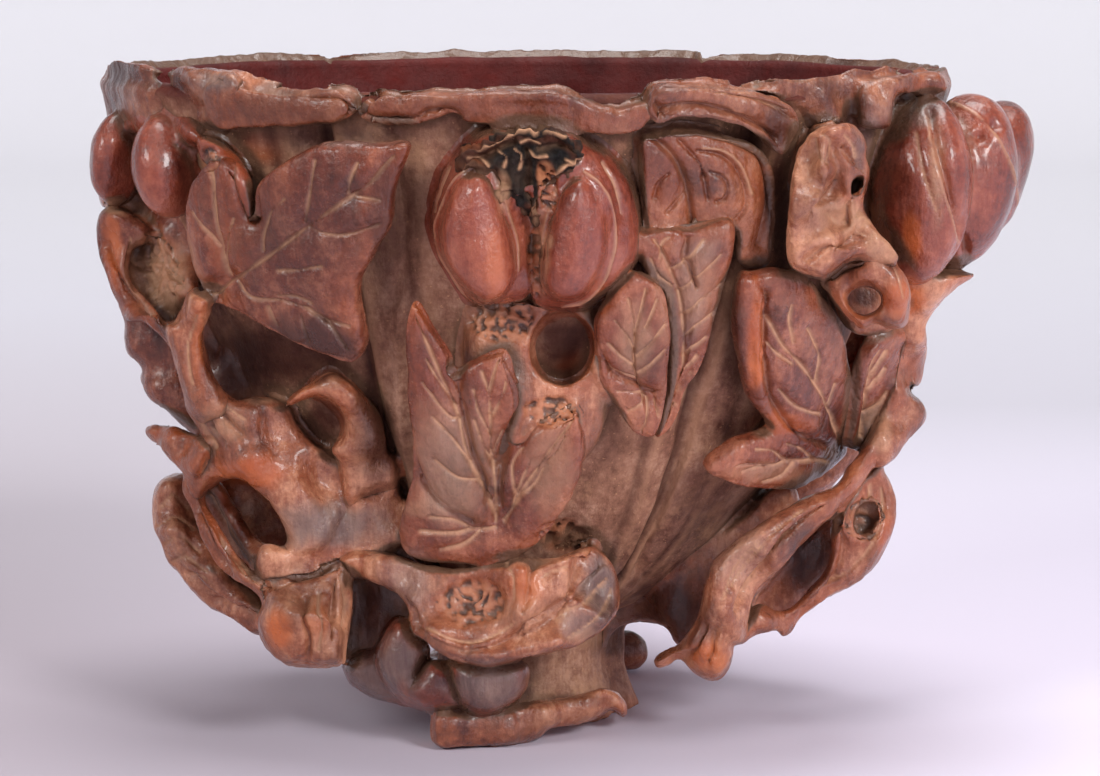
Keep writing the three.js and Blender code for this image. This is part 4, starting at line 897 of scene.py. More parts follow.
def carvePlate(name, shape):
    # a plate whose outline is drawn in the photograph, with its face at the depths given
    scale = view["pixelsPerMillimetre"]
    outline = closedRun(shape["outline"], 3) / scale
    low, high = outline.min(0) - plateForm["margin"], outline.max(0) + plateForm["margin"]
    step, soft = plateForm["step"], shape.get("soft", plateForm["soft"])
    edge = outlineDistance(outline, low, high, step)
    for pixels in shape.get("holes", []):
        edge = np.maximum(edge, -outlineDistance(closedRun(pixels, 3) / scale, low, high, step))
    across, down = np.meshgrid(*(np.arange(low[i], high[i], step) for i in range(2)), indexing="ij")
    total, depth = 0, 0
    for px, py, deep in shape["front"]:
        near = 1 / ((across - px / scale) ** 2 + (down - py / scale) ** 2 + plateForm["blend"]) ** 1.5
        total, depth = total + near, depth + near * deep
    inner = clamp01(-edge / shape["reach"])
    face = depth / total - shape["crown"] * np.sqrt(np.maximum(1 - (1 - inner) ** 2, 0))
    deeps = [deep for _, _, deep in shape["front"]]

    def distance(x, y, z, span):
        off = (x - eye[0], y - eye[1], z - eye[2])
        ahead = dot(off, look)
        u = (dot(off, sideways) / ahead * view["pixelsPerTurn"] + view["frame"][0] / 2) / scale
        v = (view["frame"][1] / 2 - dot(off, upwards) / ahead * view["pixelsPerTurn"]) / scale
        away = readChart(edge, low, step, u, v)
        front = readChart(face, low, step, u, v)
        return roundedEdge(away, np.maximum(front - y, y - front - shape["thick"]), soft)

    corners = np.vstack([atDepth(outline * scale, deep)
                         for deep in (min(deeps) - shape["crown"], max(deeps) + shape["thick"])])
    carve(name, corners.min(0), corners.max(0), distance, plateForm["reach"])


# Branches round the back: places in shares of the bowl's half width, half depth and height
branches = {
    "back_branch": {"radii": (6.2, 6.2, 4.6, 4.6, 3.7, 3.7), "routeShares": [
        (0.14, 0.3, 0.16), (0.32, 0.56, 0.24), (0.44, 0.68, 0.36), (0.46, 0.76, 0.5), (0.36, 0.9, 0.62),
        (0.1, 1.02, 0.69)]},
    "back_left_branch": {"radii": (6.2, 4.6, 4.6, 3.7), "routeShares": [
        (-0.14, 0.3, 0.16), (-0.34, 0.52, 0.22), (-0.56, 0.6, 0.32), (-0.66, 0.6, 0.44)]},
    "back_right_branch": {"radii": (4.6, 4.6, 3.7, 3.7), "routeShares": [
        (0.38, 0.56, 0.26), (0.62, 0.46, 0.3), (0.78, 0.36, 0.38), (0.84, 0.3, 0.48)]},
}

# The pierced stem, and the holes drilled through the openwork
piercedStem = {"bearing": 2, "upShare": 0.585, "lift": 1.0, "sizes": (11, 6.4, 13.5), "power": 3.0}
holes = [
    {"pixel": (562, 348), "depth": -45, "radius": (4.7, 5.3), "deep": 13, "lean": 0},
    {"pixel": (856, 187), "depth": -43, "radius": (0.6, 1.2), "deep": 4, "lean": -25},
    {"pixel": (566, 540), "depth": -36, "radius": (3.4, 1.9), "deep": 5, "lean": 20},
    {"pixel": (866, 518), "depth": -18, "radius": (1.5, 2.4), "deep": 3, "lean": -20},
]
drill = {"room": 2, "end": 1.2, "lip": 1.0}  # how far a hole's end and lip are rounded, in millimetres

# Mouldings of the rim
mouldings = {
    "rim_left_arch": {"from": -110.5, "to": -58, "lowShare": 0.92, "highShare": 1, "out": 1.6},
    "rim_right_ledge": {"from": 62, "to": 105.5, "lowShare": 0.92, "highShare": 1, "out": 1.6},
    "rim_right_rear_strip": {"from": 105, "to": 180, "lowShare": 0.925, "highShare": 1, "out": 3.6},
    "rim_left_rear_strip": {"from": 180, "to": 249.5, "lowShare": 0.93, "highShare": 1, "out": 3.6},
}


def drillHole(hole):
    # an oval hole along the line of sight
    middle = atDepth([hole["pixel"]], hole["depth"])[0]
    ray = rayOf([hole["pixel"]])[0]
    ray = ray / np.linalg.norm(ray)
    wide, tall = hole["radius"]
    room = np.full(3, max(hole["radius"]) + drill["room"]) + np.abs(ray) * hole["deep"]
    span = spanOf(middle - room, middle + room)
    x, y, z = cellsIn(span)
    off = (x - middle[0], y - middle[1], z - middle[2])
    along, right, up = dot(off, ray), dot(off, sideways), dot(off, upwards)
    lean = hole["lean"] * degree
    across = (right * math.cos(lean) + up * math.sin(lean)) / wide
    rise = (up * math.cos(lean) - right * math.sin(lean)) / tall
    inside = (1 - np.hypot(across, rise)) * min(wide, tall)
    hollow = blended(inside, hole["deep"] - np.abs(along), drill["end"])
    union[span] = -blended(-union[span], -hollow, drill["lip"])


carveStump()
carveTwinFruit("back_fruit")
carveSegmentFruit("right_fruit")
carveSegmentFruit("left_fruit")
for leafName, shape in frontLeaves.items():
    leafFromPixels(leafName, shape["outline"], shape["lift"], shape["seat"])
for plateName, shape in rimPlates.items():
    leafFromPixels(plateName, shape["outline"], shape["lift"], shape["seat"], thickness=shape["thickness"],
                   crown=rimCrown)
for leafName, shape in otherLeaves.items():
    leafFromShares(leafName, shape)
stemMiddle = wallPoint(piercedStem["bearing"], piercedStem["upShare"], piercedStem["lift"])
carveLobe("front_pierced_stem", stemMiddle, piercedStem["sizes"], piercedStem["bearing"], reach=1.6,
          power=piercedStem["power"])
for plateName, shapes in plates.items():
    for shape in shapes:
        carvePlate(plateName, shape)
for branchName, shape in branches.items():
    carveLimb(branchName, shares(shape["routeShares"]), shape["radii"])
for stripName, shape in mouldings.items():
    carveStrip(stripName, shape)
for hole in holes:
    drillHole(hole)
print("carved", len(pieces), "sub-parts")

carved = blended(union, wallField, block["fillet"])


def fieldAt(field, points):
    spot = np.clip((points - blockLow) / cell, 0, counts - 1.001)
    base = spot.astype(int)
    part = (spot - base).astype(np.float32)
    total = 0
    for corner in range(8):
        step = np.array([corner & 1, corner >> 1 & 1, corner >> 2])
        weight = np.prod(np.where(step, part, 1 - part), axis=1)
        total = total + weight * field[tuple((base + step).T)]
    return total


def finer(field):
    # twice as many cells each way, smoothed
    for axis in range(3):
        field = np.moveaxis(field, axis, 0)
        twice = np.empty((2 * field.shape[0] - 1,) + field.shape[1:], np.float32)
        twice[::2] = field
        twice[1::2] = (field[:-1] + field[1:]) / 2
        twice[1:-1] = (twice[:-2] + 2 * twice[1:-1] + twice[2:]) / 4
        field = np.moveaxis(twice, 0, axis)
    return field


def mainParts(pointCount, faces):
    # drops crumbs: keeps each connected part with a fair share of the faces
    parent = np.arange(pointCount)
    edges = np.vstack([faces[:, [0, 1]], faces[:, [1, 2]], faces[:, [2, -1]]])
    while True:
        a, b = parent[edges[:, 0]], parent[edges[:, 1]]
        if (a == b).all():
            break
        np.minimum.at(parent, np.maximum(a, b), np.minimum(a, b))
        while (parent[parent] != parent).any():
            parent = parent[parent]
    sizes = np.bincount(parent[faces[:, 0]], minlength=pointCount)
    return sizes[parent[faces[:, 0]]] > block["crumbShare"] * len(faces)


def normalsOf(points, faces):
    across = points[faces[:, 2]] - points[faces[:, 0]]
    along = points[faces[:, -1]] - points[faces[:, 1]]
    square = np.cross(across, along)
    total = np.zeros_like(points)
    for corner in range(faces.shape[1]):
        for axis in range(3):
            total[:, axis] += np.bincount(faces[:, corner], square[:, axis], len(points))
    return total / np.maximum(np.linalg.norm(total, axis=1, keepdims=True), 1e-9)


def meshOf(name, fine=False):
    number = list(pieces).index(name)
    spans = pieces[name]["spans"]
    first = [min(span[i].start for span, _ in spans) for i in range(3)]
    last = [max(span[i].stop for span, _ in spans) for i in range(3)]
    whole = tuple(slice(a, b) for a, b in zip(first, last))
    own = np.full(np.subtract(last, first), block["far"], np.float32)
    for span, field in spans:
        inner = tuple(slice(s.start - a, s.stop - a) for s, a in zip(span, first))
        own[inner] = np.minimum(own[inner], field)
    other = np.where(owner[whole] == number, secondNearest[whole], nearest[whole])
    beyond = own - other
    wall, skin, joined = wallField[whole], carved[whole], union[whole]
    past = np.maximum(joined - wall - block["wallFrom"] * block["fillet"], 0)
    part = skin + block["seamEase"] * np.maximum(beyond, 0) ** 2 + block["wallEase"] * past ** 2
    part = np.maximum(part, beyond - block["overlap"])
    part = np.maximum(part, joined - wall - block["wallCover"] * block["fillet"])
    part = np.maximum(part, -(wall + block["sink"]))
    scale = cell
    if fine:
        part = finer(part)
        scale = cell / 2
    part = np.pad(part, 1, constant_values=1.0)
    grid = openvdb.FloatGrid(1.0)
    grid.copyFromArray(np.ascontiguousarray(part))
    points, faces = grid.convertToQuads(isovalue=0.0)
    if not len(faces):
        return None
    faces = faces.astype(np.int64)
    faces = faces[mainParts(len(points), faces)]
    used, faces = np.unique(faces, return_inverse=True)
    faces = faces.reshape(-1, 4)
    points = (points[used].astype(float) - 1) * scale + blockLow + np.array(first) * cell
    corners = points[faces]
    volume = np.einsum("ij,ij->", corners[:, 0], np.cross(corners[:, 1], corners[:, 2]))
    volume += np.einsum("ij,ij->", corners[:, 0], np.cross(corners[:, 2], corners[:, 3]))
    if volume < 0:
        faces = faces[:, ::-1]
    return points, faces


# Kinds of cut: how deep and wide each is in millimetres, and how dusty
cutStyles = {
    "midribs": {"depth": 0.45, "width": 0.3, "dust": 1.0, "valley": 0.8, "spread": 2.1},
    "veins": {"depth": 0.35, "width": 0.24, "dust": 0.95, "valley": 0.35, "spread": 1.2},
    "creases": {"depth": 1.0, "width": 0.5, "dust": 0.2, "valley": 0.7, "spread": 1.8},
    "grooves": {"depth": 0.6, "width": 0.32, "dust": 0.0, "valley": 0.25, "spread": 1.2},
    "rims": {"depth": -0.25, "width": 0.2, "dust": 0.8, "valley": -0.12, "spread": 0.8},
    "strands": {"depth": -0.4, "width": 0.22, "dust": 1.0, "valley": -0.1, "spread": 0.6},
    "pits": {"depth": 0.8, "width": 0.6, "dust": 0.0, "valley": 0.3, "spread": 1.0},
    "ridges": {"depth": -0.6, "width": 0.8, "dust": 0.0, "valley": -0.2, "spread": 1.8},
}
# Cuts drawn over the front, each a run of the photograph's pixels, across and down in turn
drawings = {
    "left_broad_leaf": {
        "midribs": [[208, 299, 240, 276, 305, 229, 340, 205, 370, 185, 392, 158], [222, 281, 214, 235,
         210, 192, 205, 163], [228, 288, 250, 302, 286, 305, 325, 324, 346, 352]],
        "veins": [[301, 226, 308, 195, 313, 161], [347, 196, 350, 178, 357, 163], [305, 231, 322, 235,
         340, 237, 360, 233, 379, 226], [355, 199, 379, 201], [275, 273, 296, 272, 320, 268], [214, 250,
         208, 240, 201, 231, 190, 213], [221, 268, 222, 250, 225, 235, 232, 220], [264, 311, 276, 328],
         [274, 299, 290, 299, 308, 306], [298, 318, 306, 344], [322, 323, 349, 327], [258, 252, 260, 236,
         268, 214, 282, 200]],
        "creases": [[251, 219, 249, 205, 243, 188, 232, 172]]},
    "front_mask_leaf": {
        "midribs": [[495, 532, 492, 441, 491, 392, 498, 358], [495, 525, 468, 467, 452, 408, 436, 366,
         413, 308], [495, 537, 455, 538, 418, 534], [504, 530, 530, 484, 551, 451, 578, 414]],
        "creases": [[455, 368, 458, 400, 471, 451, 487, 508], [513, 360, 522, 408, 514, 432, 497, 470],
         [409, 464, 430, 500, 470, 528], [516, 434, 500, 480, 499, 515]],
        "veins": [[491, 400, 483, 382, 480, 372], [492, 440, 478, 415, 472, 392], [493, 470, 480, 440,
         474, 425], [493, 420, 503, 400, 508, 385], [494, 460, 505, 435], [452, 408, 440, 385, 425, 362],
         [468, 467, 448, 440, 430, 420], [478, 490, 455, 480, 432, 462], [458, 425, 445, 420, 420, 385],
         [480, 538, 465, 548, 440, 552], [470, 537, 450, 524, 428, 520], [512, 515, 520, 490, 530, 462],
         [520, 502, 536, 488, 545, 470], [540, 468, 556, 458, 566, 440], [515, 500, 512, 470, 522, 448]]},
    "front_side_leaf": {
        "midribs": [[648, 290, 640, 325, 636, 360, 640, 384, 652, 402]],
        "veins": [[628, 300, 634, 322, 637, 340], [615, 322, 628, 340, 636, 356], [608, 346, 622, 360,
         637, 372], [606, 372, 622, 378, 640, 386], [660, 300, 648, 330], [668, 325, 652, 345, 640, 360],
         [668, 350, 655, 365, 642, 378], [615, 395, 632, 398, 648, 400], [626, 415, 640, 410, 652, 402],
         [640, 436, 650, 420, 655, 404], [664, 420, 662, 405]],
        "creases": [[598, 360, 612, 378, 640, 392, 668, 398]]},
    "front_feather_leaf": {
        "midribs": [[656, 240, 668, 268, 680, 300, 684, 340, 682, 380, 670, 420]],
        "veins": [[672, 275, 690, 262, 705, 240], [679, 295, 700, 280, 722, 255], [683, 318, 702, 303,
         722, 285], [684, 340, 700, 326, 716, 312], [684, 358, 698, 348, 708, 338], [682, 378, 692, 370,
         700, 358], [678, 396, 690, 388, 696, 376], [674, 410, 686, 402, 690, 394], [660, 262, 664, 245,
         670, 236], [672, 290, 660, 280, 650, 262]],
        "creases": [[690, 236, 688, 260, 700, 290]]},
    "right_hook_leaf": {
        "midribs": [[850, 458, 838, 425, 823, 392, 800, 362, 786, 348, 771, 322], [848, 466, 800, 466,
         745, 477]],
        "veins": [[821, 385, 821, 356, 810, 330], [797, 345, 792, 322, 794, 306], [795, 366, 779, 356,
         771, 348], [823, 416, 797, 408, 781, 392], [832, 410, 838, 385], [790, 465, 775, 452, 758, 450],
         [800, 468, 785, 480, 765, 486], [820, 465, 806, 452, 790, 446], [770, 472, 752, 468, 738, 470]],
        "creases": [[769, 294, 767, 348, 771, 396, 794, 432, 830, 450]],
        "ridges": [[760, 296, 757, 345, 761, 395]]},
    "right_spear_leaf": {
        "midribs": [[862, 440, 870, 410, 877, 385, 892, 352]],
        "veins": [[868, 415, 868, 390, 872, 372], [872, 400, 884, 385, 892, 372], [868, 420, 882, 408,
         890, 395], [876, 385, 878, 366, 884, 352]]},
    "cup_wall": {
        "ridges": [[690, 398, 674, 440, 650, 500, 625, 568], [400, 300, 398, 380, 404, 440]],
        "creases": [[704, 400, 688, 442, 664, 502, 640, 572], [388, 160, 402, 230, 398, 300]]},
    "front_fruit_husk": {
        "rims": [[470, 168, 453, 182, 443, 202, 437, 226, 440, 250, 450, 270, 464, 290, 482, 304], [584, 172,
         600, 184, 612, 206, 616, 236, 612, 262, 602, 284, 584, 302, 562, 306], [500, 188, 509, 214,
         517, 242, 518, 270], [556, 190, 546, 218, 541, 250, 539, 276]],
        "creases": [[526, 200, 530, 240, 531, 280, 528, 306]],
        "veins": [[604, 160, 618, 186, 624, 214], [448, 166, 438, 190, 434, 212]]},
    "front_fruit_crown": {
        "creases": [[526, 150, 528, 176, 530, 200, 528, 214], [474, 160, 496, 152, 512, 142], [540, 150,
         560, 146, 576, 150]],
        "strands": [[478, 149, 490, 144, 502, 139, 512, 134], [520, 143, 530, 139, 541, 144], [508, 133,
         522, 130, 538, 133], [544, 134, 556, 133, 566, 137], [566, 160, 576, 164, 583, 160], [498, 152,
         506, 158, 504, 168], [556, 176, 562, 168, 572, 164], [514, 150, 520, 158, 519, 170], [530, 152,
         536, 158, 546, 156], [468, 158, 480, 160, 488, 166]]},
    "scroll_panel": {
        "creases": [[656, 139, 675, 158, 690, 190, 697, 228, 712, 236], [668, 134, 700, 132, 740, 143,
         764, 160, 772, 198, 762, 246]],
        "grooves": [[700, 152, 722, 156, 738, 170, 747, 194, 744, 212, 732, 226], [706, 176, 708, 192,
         710, 202], [712, 173, 724, 178, 729, 188, 726, 200, 718, 204], [682, 142, 700, 162, 706, 178],
         [655, 200, 660, 186, 670, 176], [668, 214, 680, 204, 688, 196]],
        "rims": [[704, 149, 726, 152, 743, 168, 752, 194], [658, 136, 690, 130, 730, 136, 758, 150]]},
    "rim_folded_leaf": {
        "creases": [[666, 112, 700, 108, 745, 120, 778, 142], [650, 100, 662, 118, 660, 136]],
        "veins": [[740, 92, 770, 104, 795, 120], [720, 90, 755, 97, 790, 110]]},
    "rim_front_strip": {
        "creases": [[361, 124, 410, 122, 432, 112, 447, 116], [356, 116, 362, 100, 376, 93]],
        "ridges": [[380, 99, 440, 99, 520, 95, 570, 98, 610, 114]]},
    "rim_left_strip": {
        "creases": [[240, 80, 300, 92, 340, 96, 354, 114]],
        "ridges": [[244, 76, 300, 88, 336, 90]]},
    "right_fruit_segment_1": {
        "creases": [[930, 108, 936, 141, 951, 187, 961, 217, 968, 256]],
        "rims": [[926, 112, 931, 145, 944, 190, 955, 222, 962, 250]],
        "veins": [[914, 130, 922, 170, 936, 210]]},
    "right_fruit_segment_2": {
        "creases": [[930, 108, 936, 141, 951, 187, 961, 217, 968, 256]],
        "rims": [[951, 103, 975, 114, 995, 135, 1012, 166, 1018, 198, 1012, 222]],
        "pits": [[979, 134, 981, 137], [994, 123, 997, 126]]},
    "right_fruit_segment_3": {
        "rims": [[951, 103, 975, 114, 995, 135, 1012, 166, 1018, 198, 1012, 222]],
        "pits": [[994, 123, 997, 126]]},
    "left_hollow_stub": {
        "creases": [[262, 585, 300, 572, 338, 560], [304, 592, 308, 630, 306, 660], [332, 580, 340, 610,
         336, 640]],
        "veins": [[318, 590, 322, 625, 318, 655], [345, 575, 352, 600, 350, 625]]},
    "left_outer_strut": {
        "creases": [[190, 486, 206, 530, 224, 576]],
        "veins": [[200, 480, 222, 530, 250, 585], [214, 500, 236, 545, 262, 590]]},
    "left_cross_branch": {
        "creases": [[196, 398, 206, 425, 222, 448], [206, 390, 220, 415, 240, 435]],
        "veins": [[215, 385, 228, 405, 244, 420], [190, 410, 200, 432, 212, 450]]},
    "left_leaf_stem": {
        "veins": [[196, 320, 186, 350, 190, 385]]},
    "front_curled_leaf": {
        "creases": [[408, 612, 418, 634, 460, 652, 506, 640, 551, 612, 578, 585, 588, 552], [514, 643,
         551, 624, 588, 590, 604, 562], [535, 560, 530, 590, 520, 612]],
        "veins": [[425, 628, 470, 640, 515, 622], [560, 622, 585, 606, 612, 580], [570, 640, 598, 618,
         616, 590], [540, 580, 552, 572, 572, 566], [505, 560, 512, 580, 510, 600]],
        "ridges": [[415, 600, 440, 645, 500, 655, 560, 640]]},
    "right_branch": {
        "creases": [[826, 505, 790, 535, 762, 575, 742, 612], [716, 634, 716, 655, 706, 668], [700, 628,
         692, 650, 680, 664]],
        "veins": [[800, 508, 765, 540, 735, 585], [780, 520, 745, 555, 722, 600], [812, 512, 775, 556,
         752, 596]]},
    "right_lower_branch": {
        "creases": [[836, 520, 848, 545, 836, 580, 805, 612]],
        "veins": [[884, 490, 884, 520, 866, 556, 830, 590], [872, 486, 874, 510]]},
    "right_knot": {
        "creases": [[836, 150, 842, 168, 836, 190, 822, 206, 812, 222], [806, 262, 830, 244, 858, 232],
         [846, 150, 856, 160, 868, 172], [836, 258, 846, 246, 860, 240], [862, 196, 850, 206, 846, 222]],
        "ridges": [[838, 200, 848, 194, 846, 180, 852, 168], [862, 196, 870, 184, 868, 172], [800, 250,
         820, 240, 842, 230, 862, 218], [802, 150, 797, 190, 794, 240], [868, 226, 880, 244, 892, 258],
         [822, 150, 824, 175, 816, 200]],
        "veins": [[820, 132, 832, 146, 828, 160], [866, 204, 858, 220, 866, 232], [812, 140, 818, 156,
         832, 164], [848, 136, 858, 146, 862, 156], [830, 214, 838, 222, 856, 222]]},
    "right_pierced_knot": {
        "creases": [[822, 280, 838, 272, 860, 262]],
        "veins": [[888, 255, 900, 275, 906, 298]]},
    "left_edge_leaf": {
        "creases": [[104, 245, 125, 290, 150, 320, 170, 330]],
        "veins": [[140, 262, 150, 285, 146, 306], [120, 280, 140, 300, 160, 312], [130, 240, 136, 262,
         150, 276], [150, 240, 160, 262, 172, 276]]},
}
scaleRows = [(500, 160, 188), (520, 156, 194), (541, 158, 200), (562, 163, 206), (580, 172, 214)]
drawings["left_scale_leaf"] = {
    "veins": [[(left, low + 6), ((left + right) / 2, low - 5), (right, low + 8)]
              for low, left, right in scaleRows],
    "creases": [[(170, 572), (200, 602), (250, 622)], [(182, 580), (214, 602), (255, 612)]],
}

# Patches of bare porous horn: middle, half width and half height in pixels
porousPatches = [
    (500, 322, 34, 22), (556, 410, 30, 18), (468, 602, 34, 22), (564, 538, 26, 17), (866, 518, 17, 22),
    (548, 190, 12, 26), (534, 262, 8, 40), (160, 270, 24, 40), (208, 158, 12, 14),
]
pores = {"depth": 0.8, "grain": 0.6, "gain": 1.5, "share": 0.35, "dust": 0.4, "sunk": 0.3, "amberAndLit": 0.5,
         "edge": (0.7, 1.1), "ragged": [(0.25, 2.4, 0)]}

# Tones that lie over the carving, in pixels: middle, half width, half height, and how strong each is
tonePatches = {
    # amber where the horn is thin; the patch at 572, 366 is painted light on the lower side of the front hole
    "amberAndLit": [
        (250, 472, 40, 18, 0.9), (222, 520, 12, 40, 0.6), (276, 630, 14, 26, 1.0), (320, 618, 14, 30, 0.5),
        (110, 255, 12, 40, 0.8), (172, 432, 26, 10, 0.5), (757, 340, 12, 55, 0.9), (780, 425, 40, 12, 0.6),
        (905, 300, 22, 22, 0.9), (912, 235, 10, 26, 0.7), (495, 260, 12, 40, 0.45), (705, 660, 26, 18, 0.6),
        (886, 530, 10, 36, 0.7), (525, 590, 22, 24, 0.6), (600, 300, 12, 24, 0.5), (200, 345, 10, 50, 0.5),
        (225, 250, 22, 40, 0.35), (255, 150, 30, 12, 0.6), (572, 366, 16, 12, 0.7)],
    "grey": [
        (335, 525, 60, 26, 0.9), (405, 585, 34, 40, 0.6), (606, 590, 18, 50, 0.9), (585, 625, 26, 18, 0.7),
        (385, 665, 46, 40, 0.9), (490, 685, 46, 30, 0.9), (720, 540, 60, 50, 0.4), (915, 110, 30, 16, 0.8),
        (215, 82, 26, 12, 0.8), (120, 85, 14, 26, 0.5), (300, 84, 60, 5, 0.7), (700, 250, 30, 18, 0.5),
        (690, 300, 18, 60, 0.45), (870, 140, 12, 30, 0.7), (330, 138, 110, 9, 0.6), (440, 480, 24, 60, 0.4)],
    "dust": [
        (160, 275, 36, 40, 0.75), (120, 206, 22, 8, 0.7), (222, 425, 26, 26, 0.45), (265, 395, 30, 8, 0.6),
        (450, 500, 40, 40, 0.35), (540, 255, 10, 48, 0.7), (543, 243, 9, 11, 0.9), (503, 196, 8, 26, 0.6),
        (852, 215, 30, 20, 0.7), (882, 245, 16, 26, 0.6), (938, 175, 12, 50, 0.6), (770, 475, 40, 12, 0.4),
        (880, 430, 14, 24, 0.5), (590, 640, 24, 10, 0.5), (430, 510, 30, 14, 0.4), (665, 300, 10, 50, 0.3),
        (455, 470, 50, 80, 0.3), (550, 470, 30, 50, 0.35), (636, 350, 22, 50, 0.4), (700, 290, 26, 60, 0.3),
        (525, 615, 60, 24, 0.3), (620, 470, 40, 90, 0.2)],
    # painted shade in hollows, holes and undercuts; some of these patches darken horn that is darker brown
    "paintedShadeAndDarkHorn": [
        (312, 596, 50, 34, 0.6), (290, 105, 80, 20, 0.35), (520, 725, 90, 26, 0.3), (190, 540, 30, 60, 0.35),
        (128, 150, 10, 30, 0.3), (118, 74, 24, 16, 0.75), (165, 84, 30, 8, 0.6), (838, 62, 24, 10, 0.8),
        (330, 640, 24, 30, 0.4), (240, 560, 30, 40, 0.4), (860, 110, 14, 20, 0.7), (830, 90, 26, 16, 0.5),
        (780, 130, 14, 30, 0.8), (465, 150, 30, 14, 0.5), (385, 230, 22, 80, 0.75), (290, 352, 80, 36, 1.0),
        (562, 342, 27, 30, 1.0), (866, 298, 14, 12, 0.9), (240, 360, 40, 50, 0.95), (372, 435, 26, 50, 0.8),
        (245, 520, 34, 30, 0.5), (780, 200, 10, 70, 0.9), (735, 340, 12, 70, 0.7), (375, 610, 26, 26, 0.9),
        (700, 500, 30, 50, 0.2), (415, 200, 20, 60, 0.6), (805, 560, 24, 40, 0.9), (640, 640, 50, 20, 0.8),
        (570, 700, 50, 8, 0.5), (325, 420, 18, 24, 0.8), (300, 588, 40, 10, 0.6), (300, 240, 90, 90, 0.4),
        (280, 108, 90, 20, 0.5), (815, 190, 26, 70, 0.4), (905, 170, 24, 60, 0.35), (410, 110, 80, 14, 0.25),
        (180, 560, 40, 70, 0.3), (660, 612, 60, 40, 0.9), (425, 688, 24, 20, 0.6), (158, 330, 8, 30, 0.8)],
}


toneEdge = {"edge": (0.45, 1.25), "ragged": [(0.22, 5.0, 0), (0.16, 1.7, 70)]}


def layTones(points, shown, values):
    # lays the patches over the side that faces the view, with ragged edges
    pixels = pixelOf(points)
    ragged = unevenness(points, toneEdge["ragged"])
    for tone, patches in tonePatches.items():
        cover = values.setdefault(tone, np.zeros(len(points)))
        for across, height, halfWide, halfTall, strength in patches:
            away = np.hypot((pixels[:, 0] - across) / halfWide, (pixels[:, 1] - height) / halfTall) + ragged
            cover[:] = np.maximum(cover, strength * shown * (1 - smoothStep(*toneEdge["edge"], away)))


# Gouge cuts: how long a scoop is, and how deep on each kind of piece
gouge = {"length": 4.2, "stretch": (1.0, 1.0, 0.55), "start": 400, "wide": 0.6, "leaf": 0.16, "fruit": 0.03,
         "crown": 0.3, "other": 0.34}
toolMarks = {"grain": 1.6, "sharp": 2.2, "onFruit": 0.05, "elsewhere": 0.12, "stretch": (1, 1, 0.3)}
crustSwells = [(0.7, 0.8, 0), (0.9, 2.0, 20)]
scoops = np.random.default_rng(5).uniform(0.1, 0.9, (16, 16, 16, 3)).astype(np.float32)


def scoopAt(points):
    # 0 in the middle of a scoop, 1 on the ridge between two
    scaled = np.asarray(points, np.float32) * gouge["stretch"] / gouge["length"]
    scaled = (scaled + gouge["start"]).astype(np.float32)
    base = np.floor(scaled).astype(np.int64)
    closest = np.full(len(scaled), 9.0, np.float32)
    for step in np.ndindex(3, 3, 3):
        at = base + np.array(step) - 1
        off = at + scoops[tuple((at % len(scoops)).T)] - scaled
        closest = np.minimum(closest, (off ** 2).sum(1))
    return clamp01(closest / gouge["wide"])


def engraving(name, points):
    # fine tool marks along the horn's grain, and the scoops of the gouge
    onFruit = "fruit" in name
    stretched = points * (0.5 if onFruit else toolMarks["stretch"])
    marks = 1 - np.abs(noiseAt(stretched, toolMarks["grain"])) * toolMarks["sharp"]
    strength = toolMarks["onFruit" if onFruit else "elsewhere"]
    kind = "crown" if "crown" in name else "fruit" if onFruit else "other"
    if slotOf(name) == "leaf_horn":
        kind = "leaf"
    scooped = gouge[kind] * (1 - scoopAt(points))
    if kind == "crown":
        scooped = scooped + unevenness(points, crustSwells)
    return strength * clamp01(marks) + scooped


# Veins of the leaves round the back, by shares of the leaf's length: to the right, then along
backVeins = {
    "back_broad_leaf": {
        "midribs": [[(0, 0.02), (0.02, 0.4), (0, 0.92)], [(0, 0.06), (-0.14, 0.2), (-0.27, 0.4)],
                    [(0, 0.06), (0.18, 0.18), (0.38, 0.28)]],
        "veins": [[(0.01, 0.36), (0.1, 0.5), (0.15, 0.6)], [(0.01, 0.5), (-0.1, 0.6), (-0.16, 0.7)],
                  [(0.01, 0.62), (0.07, 0.72), (0.09, 0.78)], [(-0.1, 0.16), (-0.2, 0.2)],
                  [(0.16, 0.16), (0.22, 0.3)], [(0.01, 0.28), (-0.08, 0.36), (-0.12, 0.4)]]},
    "back_hook_leaf": {
        "midribs": [[(0.02, -0.1), (0.02, 0.4), (0.02, 0.9)], [(0.02, 0), (-0.16, 0.14), (-0.29, 0.32)]],
        "veins": [[(0.02, 0.2), (0.08, 0.34), (0.12, 0.42)], [(0.02, 0.36), (-0.06, 0.48), (-0.12, 0.58)],
                  [(0.02, 0.46), (0.08, 0.58), (0.12, 0.66)], [(0.02, 0.6), (-0.04, 0.7), (-0.09, 0.78)],
                  [(-0.12, 0.1), (-0.2, 0.1)], [(-0.16, 0.16), (-0.14, 0.28)]]},
    "back_spear_leaf": {
        "midribs": [[(0, 0.02), (0, 0.5), (0, 0.94)]],
        "veins": [[(0, low), (side * 0.1, low + 0.12), (side * (0.2 - low * 0.12), low + 0.2)]
                  for low in (0.14, 0.3, 0.46, 0.62) for side in (-1, 1)]},
}

# How the cuts are worn, narrower here and wider there, and how far off a line still counts, in millimetres
wear = {"least": 0.15, "mean": 0.85, "range": 0.9, "grain": 2.6, "dustShare": 1.3, "backWidth": 1.4,
        "seen": 6.0, "front": (0.02, 0.3), "back": (0.1, 0.4)}


